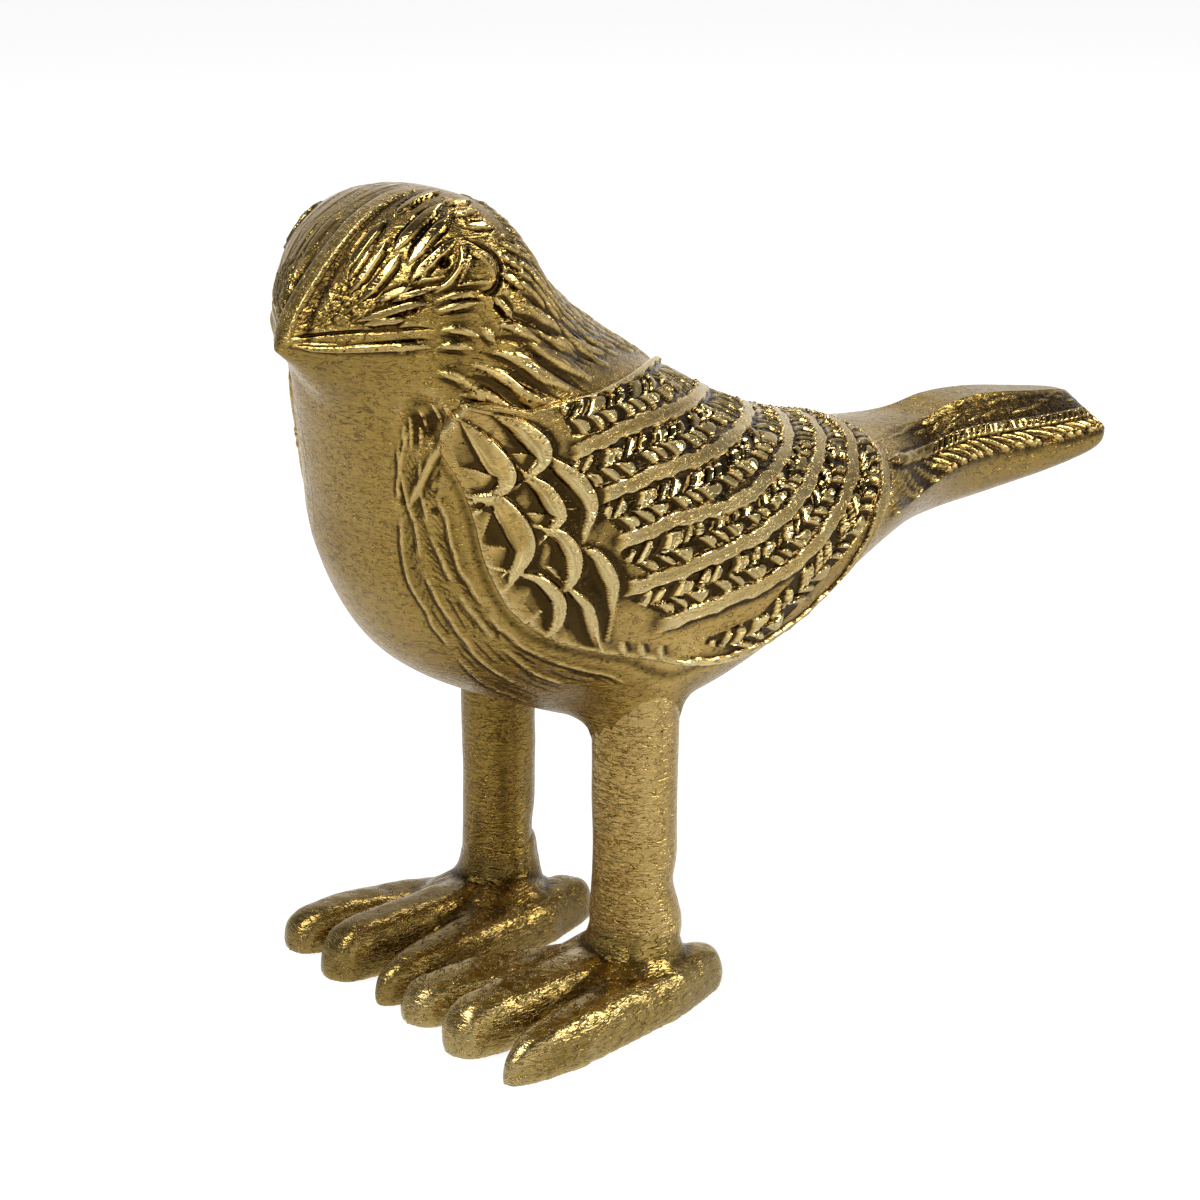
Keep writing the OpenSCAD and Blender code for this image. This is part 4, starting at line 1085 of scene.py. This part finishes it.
# Turned steel: plain and grey, with fine rings that spread its shine
turned_steel, steel_tree, steel = new_material("turned_steel")
steel_place = add(steel_tree, "TexCoord").outputs["Object"]
steel_rings = add(steel_tree, "TexNoise", Vector=steel_place, Scale=1 / (1.5 * MM), Detail=3.0)
steel_gloss = add(steel_tree, "ValToRGB", steel_rings, stops=[(0.3, 0.25), (0.7, 0.45)])
fill(steel, Metallic=1, Base_Color=linear("#8D9095"), Roughness=steel_gloss)
for node in ("left_leg_stud", "right_leg_stud", "left_foot_screw", "right_foot_screw", "seam_dowels"):
    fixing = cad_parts[node]
    fixing.data.materials.clear()
    fixing.data.materials.append(turned_steel)

# Room: a plain white floor, and a camera with a portrait lens a little above the bird, round to its
# left. The brass mirrors a room that is bright low down and behind the bird and dark overhead, with a
# window to the bird's left, and four soft lamps.
camera_turn, camera_rise, camera_distance = math.radians(51), math.radians(19), 0.560
camera_target = np.array([0, -0.031, 0.074])
back = np.array([math.sin(camera_turn) * math.cos(camera_rise),
                 -math.cos(camera_turn) * math.cos(camera_rise), math.sin(camera_rise)])
right = np.array([math.cos(camera_turn), math.sin(camera_turn), 0])
above = np.cross(back, right)


def facing(thing, spot, target):
    """Puts a camera or a light at a spot and turns it to a target."""
    thing.location = spot
    aim = np.array(target) - np.array(spot)
    thing.rotation_euler = (math.acos(-aim[2] / np.linalg.norm(aim)), 0, math.atan2(-aim[0], aim[1]))


lens = bpy.data.cameras.new("camera")
lens.lens, lens.sensor_width = 85, 36
lens.clip_start = 0.01
camera = bpy.data.objects.new("camera", lens)
bpy.context.scene.collection.objects.link(camera)
facing(camera, camera_target + back * camera_distance, camera_target)
bpy.context.scene.camera = camera

bpy.ops.mesh.primitive_plane_add(size=12)
floor = bpy.context.object
floor.name = "floor"
floor.visible_glossy = False
# White paint: matt and evenly lit, so that the floor is a blank page but for a soft shadow
white, _, paint = new_material("white_floor")
fill(paint, Base_Color=linear("#A0A0A0"), Roughness=0.9, Emission_Color=linear(1), Emission_Strength=0.8)
floor.data.materials.append(white)

# name, place to the camera's right, above and toward it (m), size (m), power (W)
lights = [
    ("key", (-0.55, 0.85, 0.4), 0.42, 6),
    ("top", (0.2, 1.2, -0.3), 0.36, 3),
    ("side", (0.95, 0.6, 0.25), 0.45, 6.5),
    ("front", (-0.45, 0.4, 0.8), 0.35, 1.5),
]
for name, (to_right, to_above, to_camera), size, power in lights:
    lamp = bpy.data.lights.new(name, "AREA")
    lamp.size, lamp.energy = size, power
    light = bpy.data.objects.new(name, lamp)
    bpy.context.scene.collection.objects.link(light)
    facing(light, camera_target + right * to_right + above * to_above + back * to_camera, camera_target)

world = bpy.data.worlds.new("room")
bpy.context.scene.world = world
world.use_nodes = True
sky = world.node_tree
sky.nodes.clear()
toward = add(sky, "TexCoord").outputs["Generated"]
height = add(sky, "SeparateXYZ", toward).outputs[2]
lifted = add(sky, "Math", height, 0.5, 0.5, operation="MULTIPLY_ADD")
# greys from straight down (0) to straight up (1)
walls = add(sky, "ValToRGB", lifted, stops=[(0, 0.8), (0.12, 0.82), (0.29, 0.8), (0.45, 0.7), (0.54, 0.42),
                                            (0.67, 0.22), (0.85, 0.07), (1, 0.06)])
behind = add(sky, "VectorMath", toward, (-0.74, 0.6, 0.3), operation="DOT_PRODUCT").outputs["Value"]
backdrop = add(sky, "MapRange", Value=behind, From_Min=0.7, From_Max=0.97, To_Max=0.5)
beside = add(sky, "VectorMath", toward, (0.92, -0.05, 0.39), operation="DOT_PRODUCT").outputs["Value"]
window = add(sky, "MapRange", Value=beside, From_Min=0.86, From_Max=0.96, To_Max=1.1)
glow = add(sky, "Math", backdrop, window, operation="ADD")
objects = add(sky, "TexNoise", Vector=toward, Scale=3.0)
shapes = add(sky, "MapRange", Value=objects, From_Min=0.35, From_Max=0.65, To_Min=0.6, To_Max=1.4)
patchy = add(sky, "MixRGB", 1.0, walls, shapes, blend_type="MULTIPLY")
lit = add(sky, "MixRGB", 1.0, patchy, glow, blend_type="ADD")
# the camera sees plain white, and the brass mirrors the room
seen = add(sky, "LightPath").outputs["Is Camera Ray"]
mirrored = add(sky, "Background", Color=lit)
plain = add(sky, "Background", Color=linear(1))
mixed = add(sky, "MixShader", seen, mirrored, plain)
add(sky, "OutputWorld", mixed)
bpy.context.scene.view_settings.view_transform = "Standard"
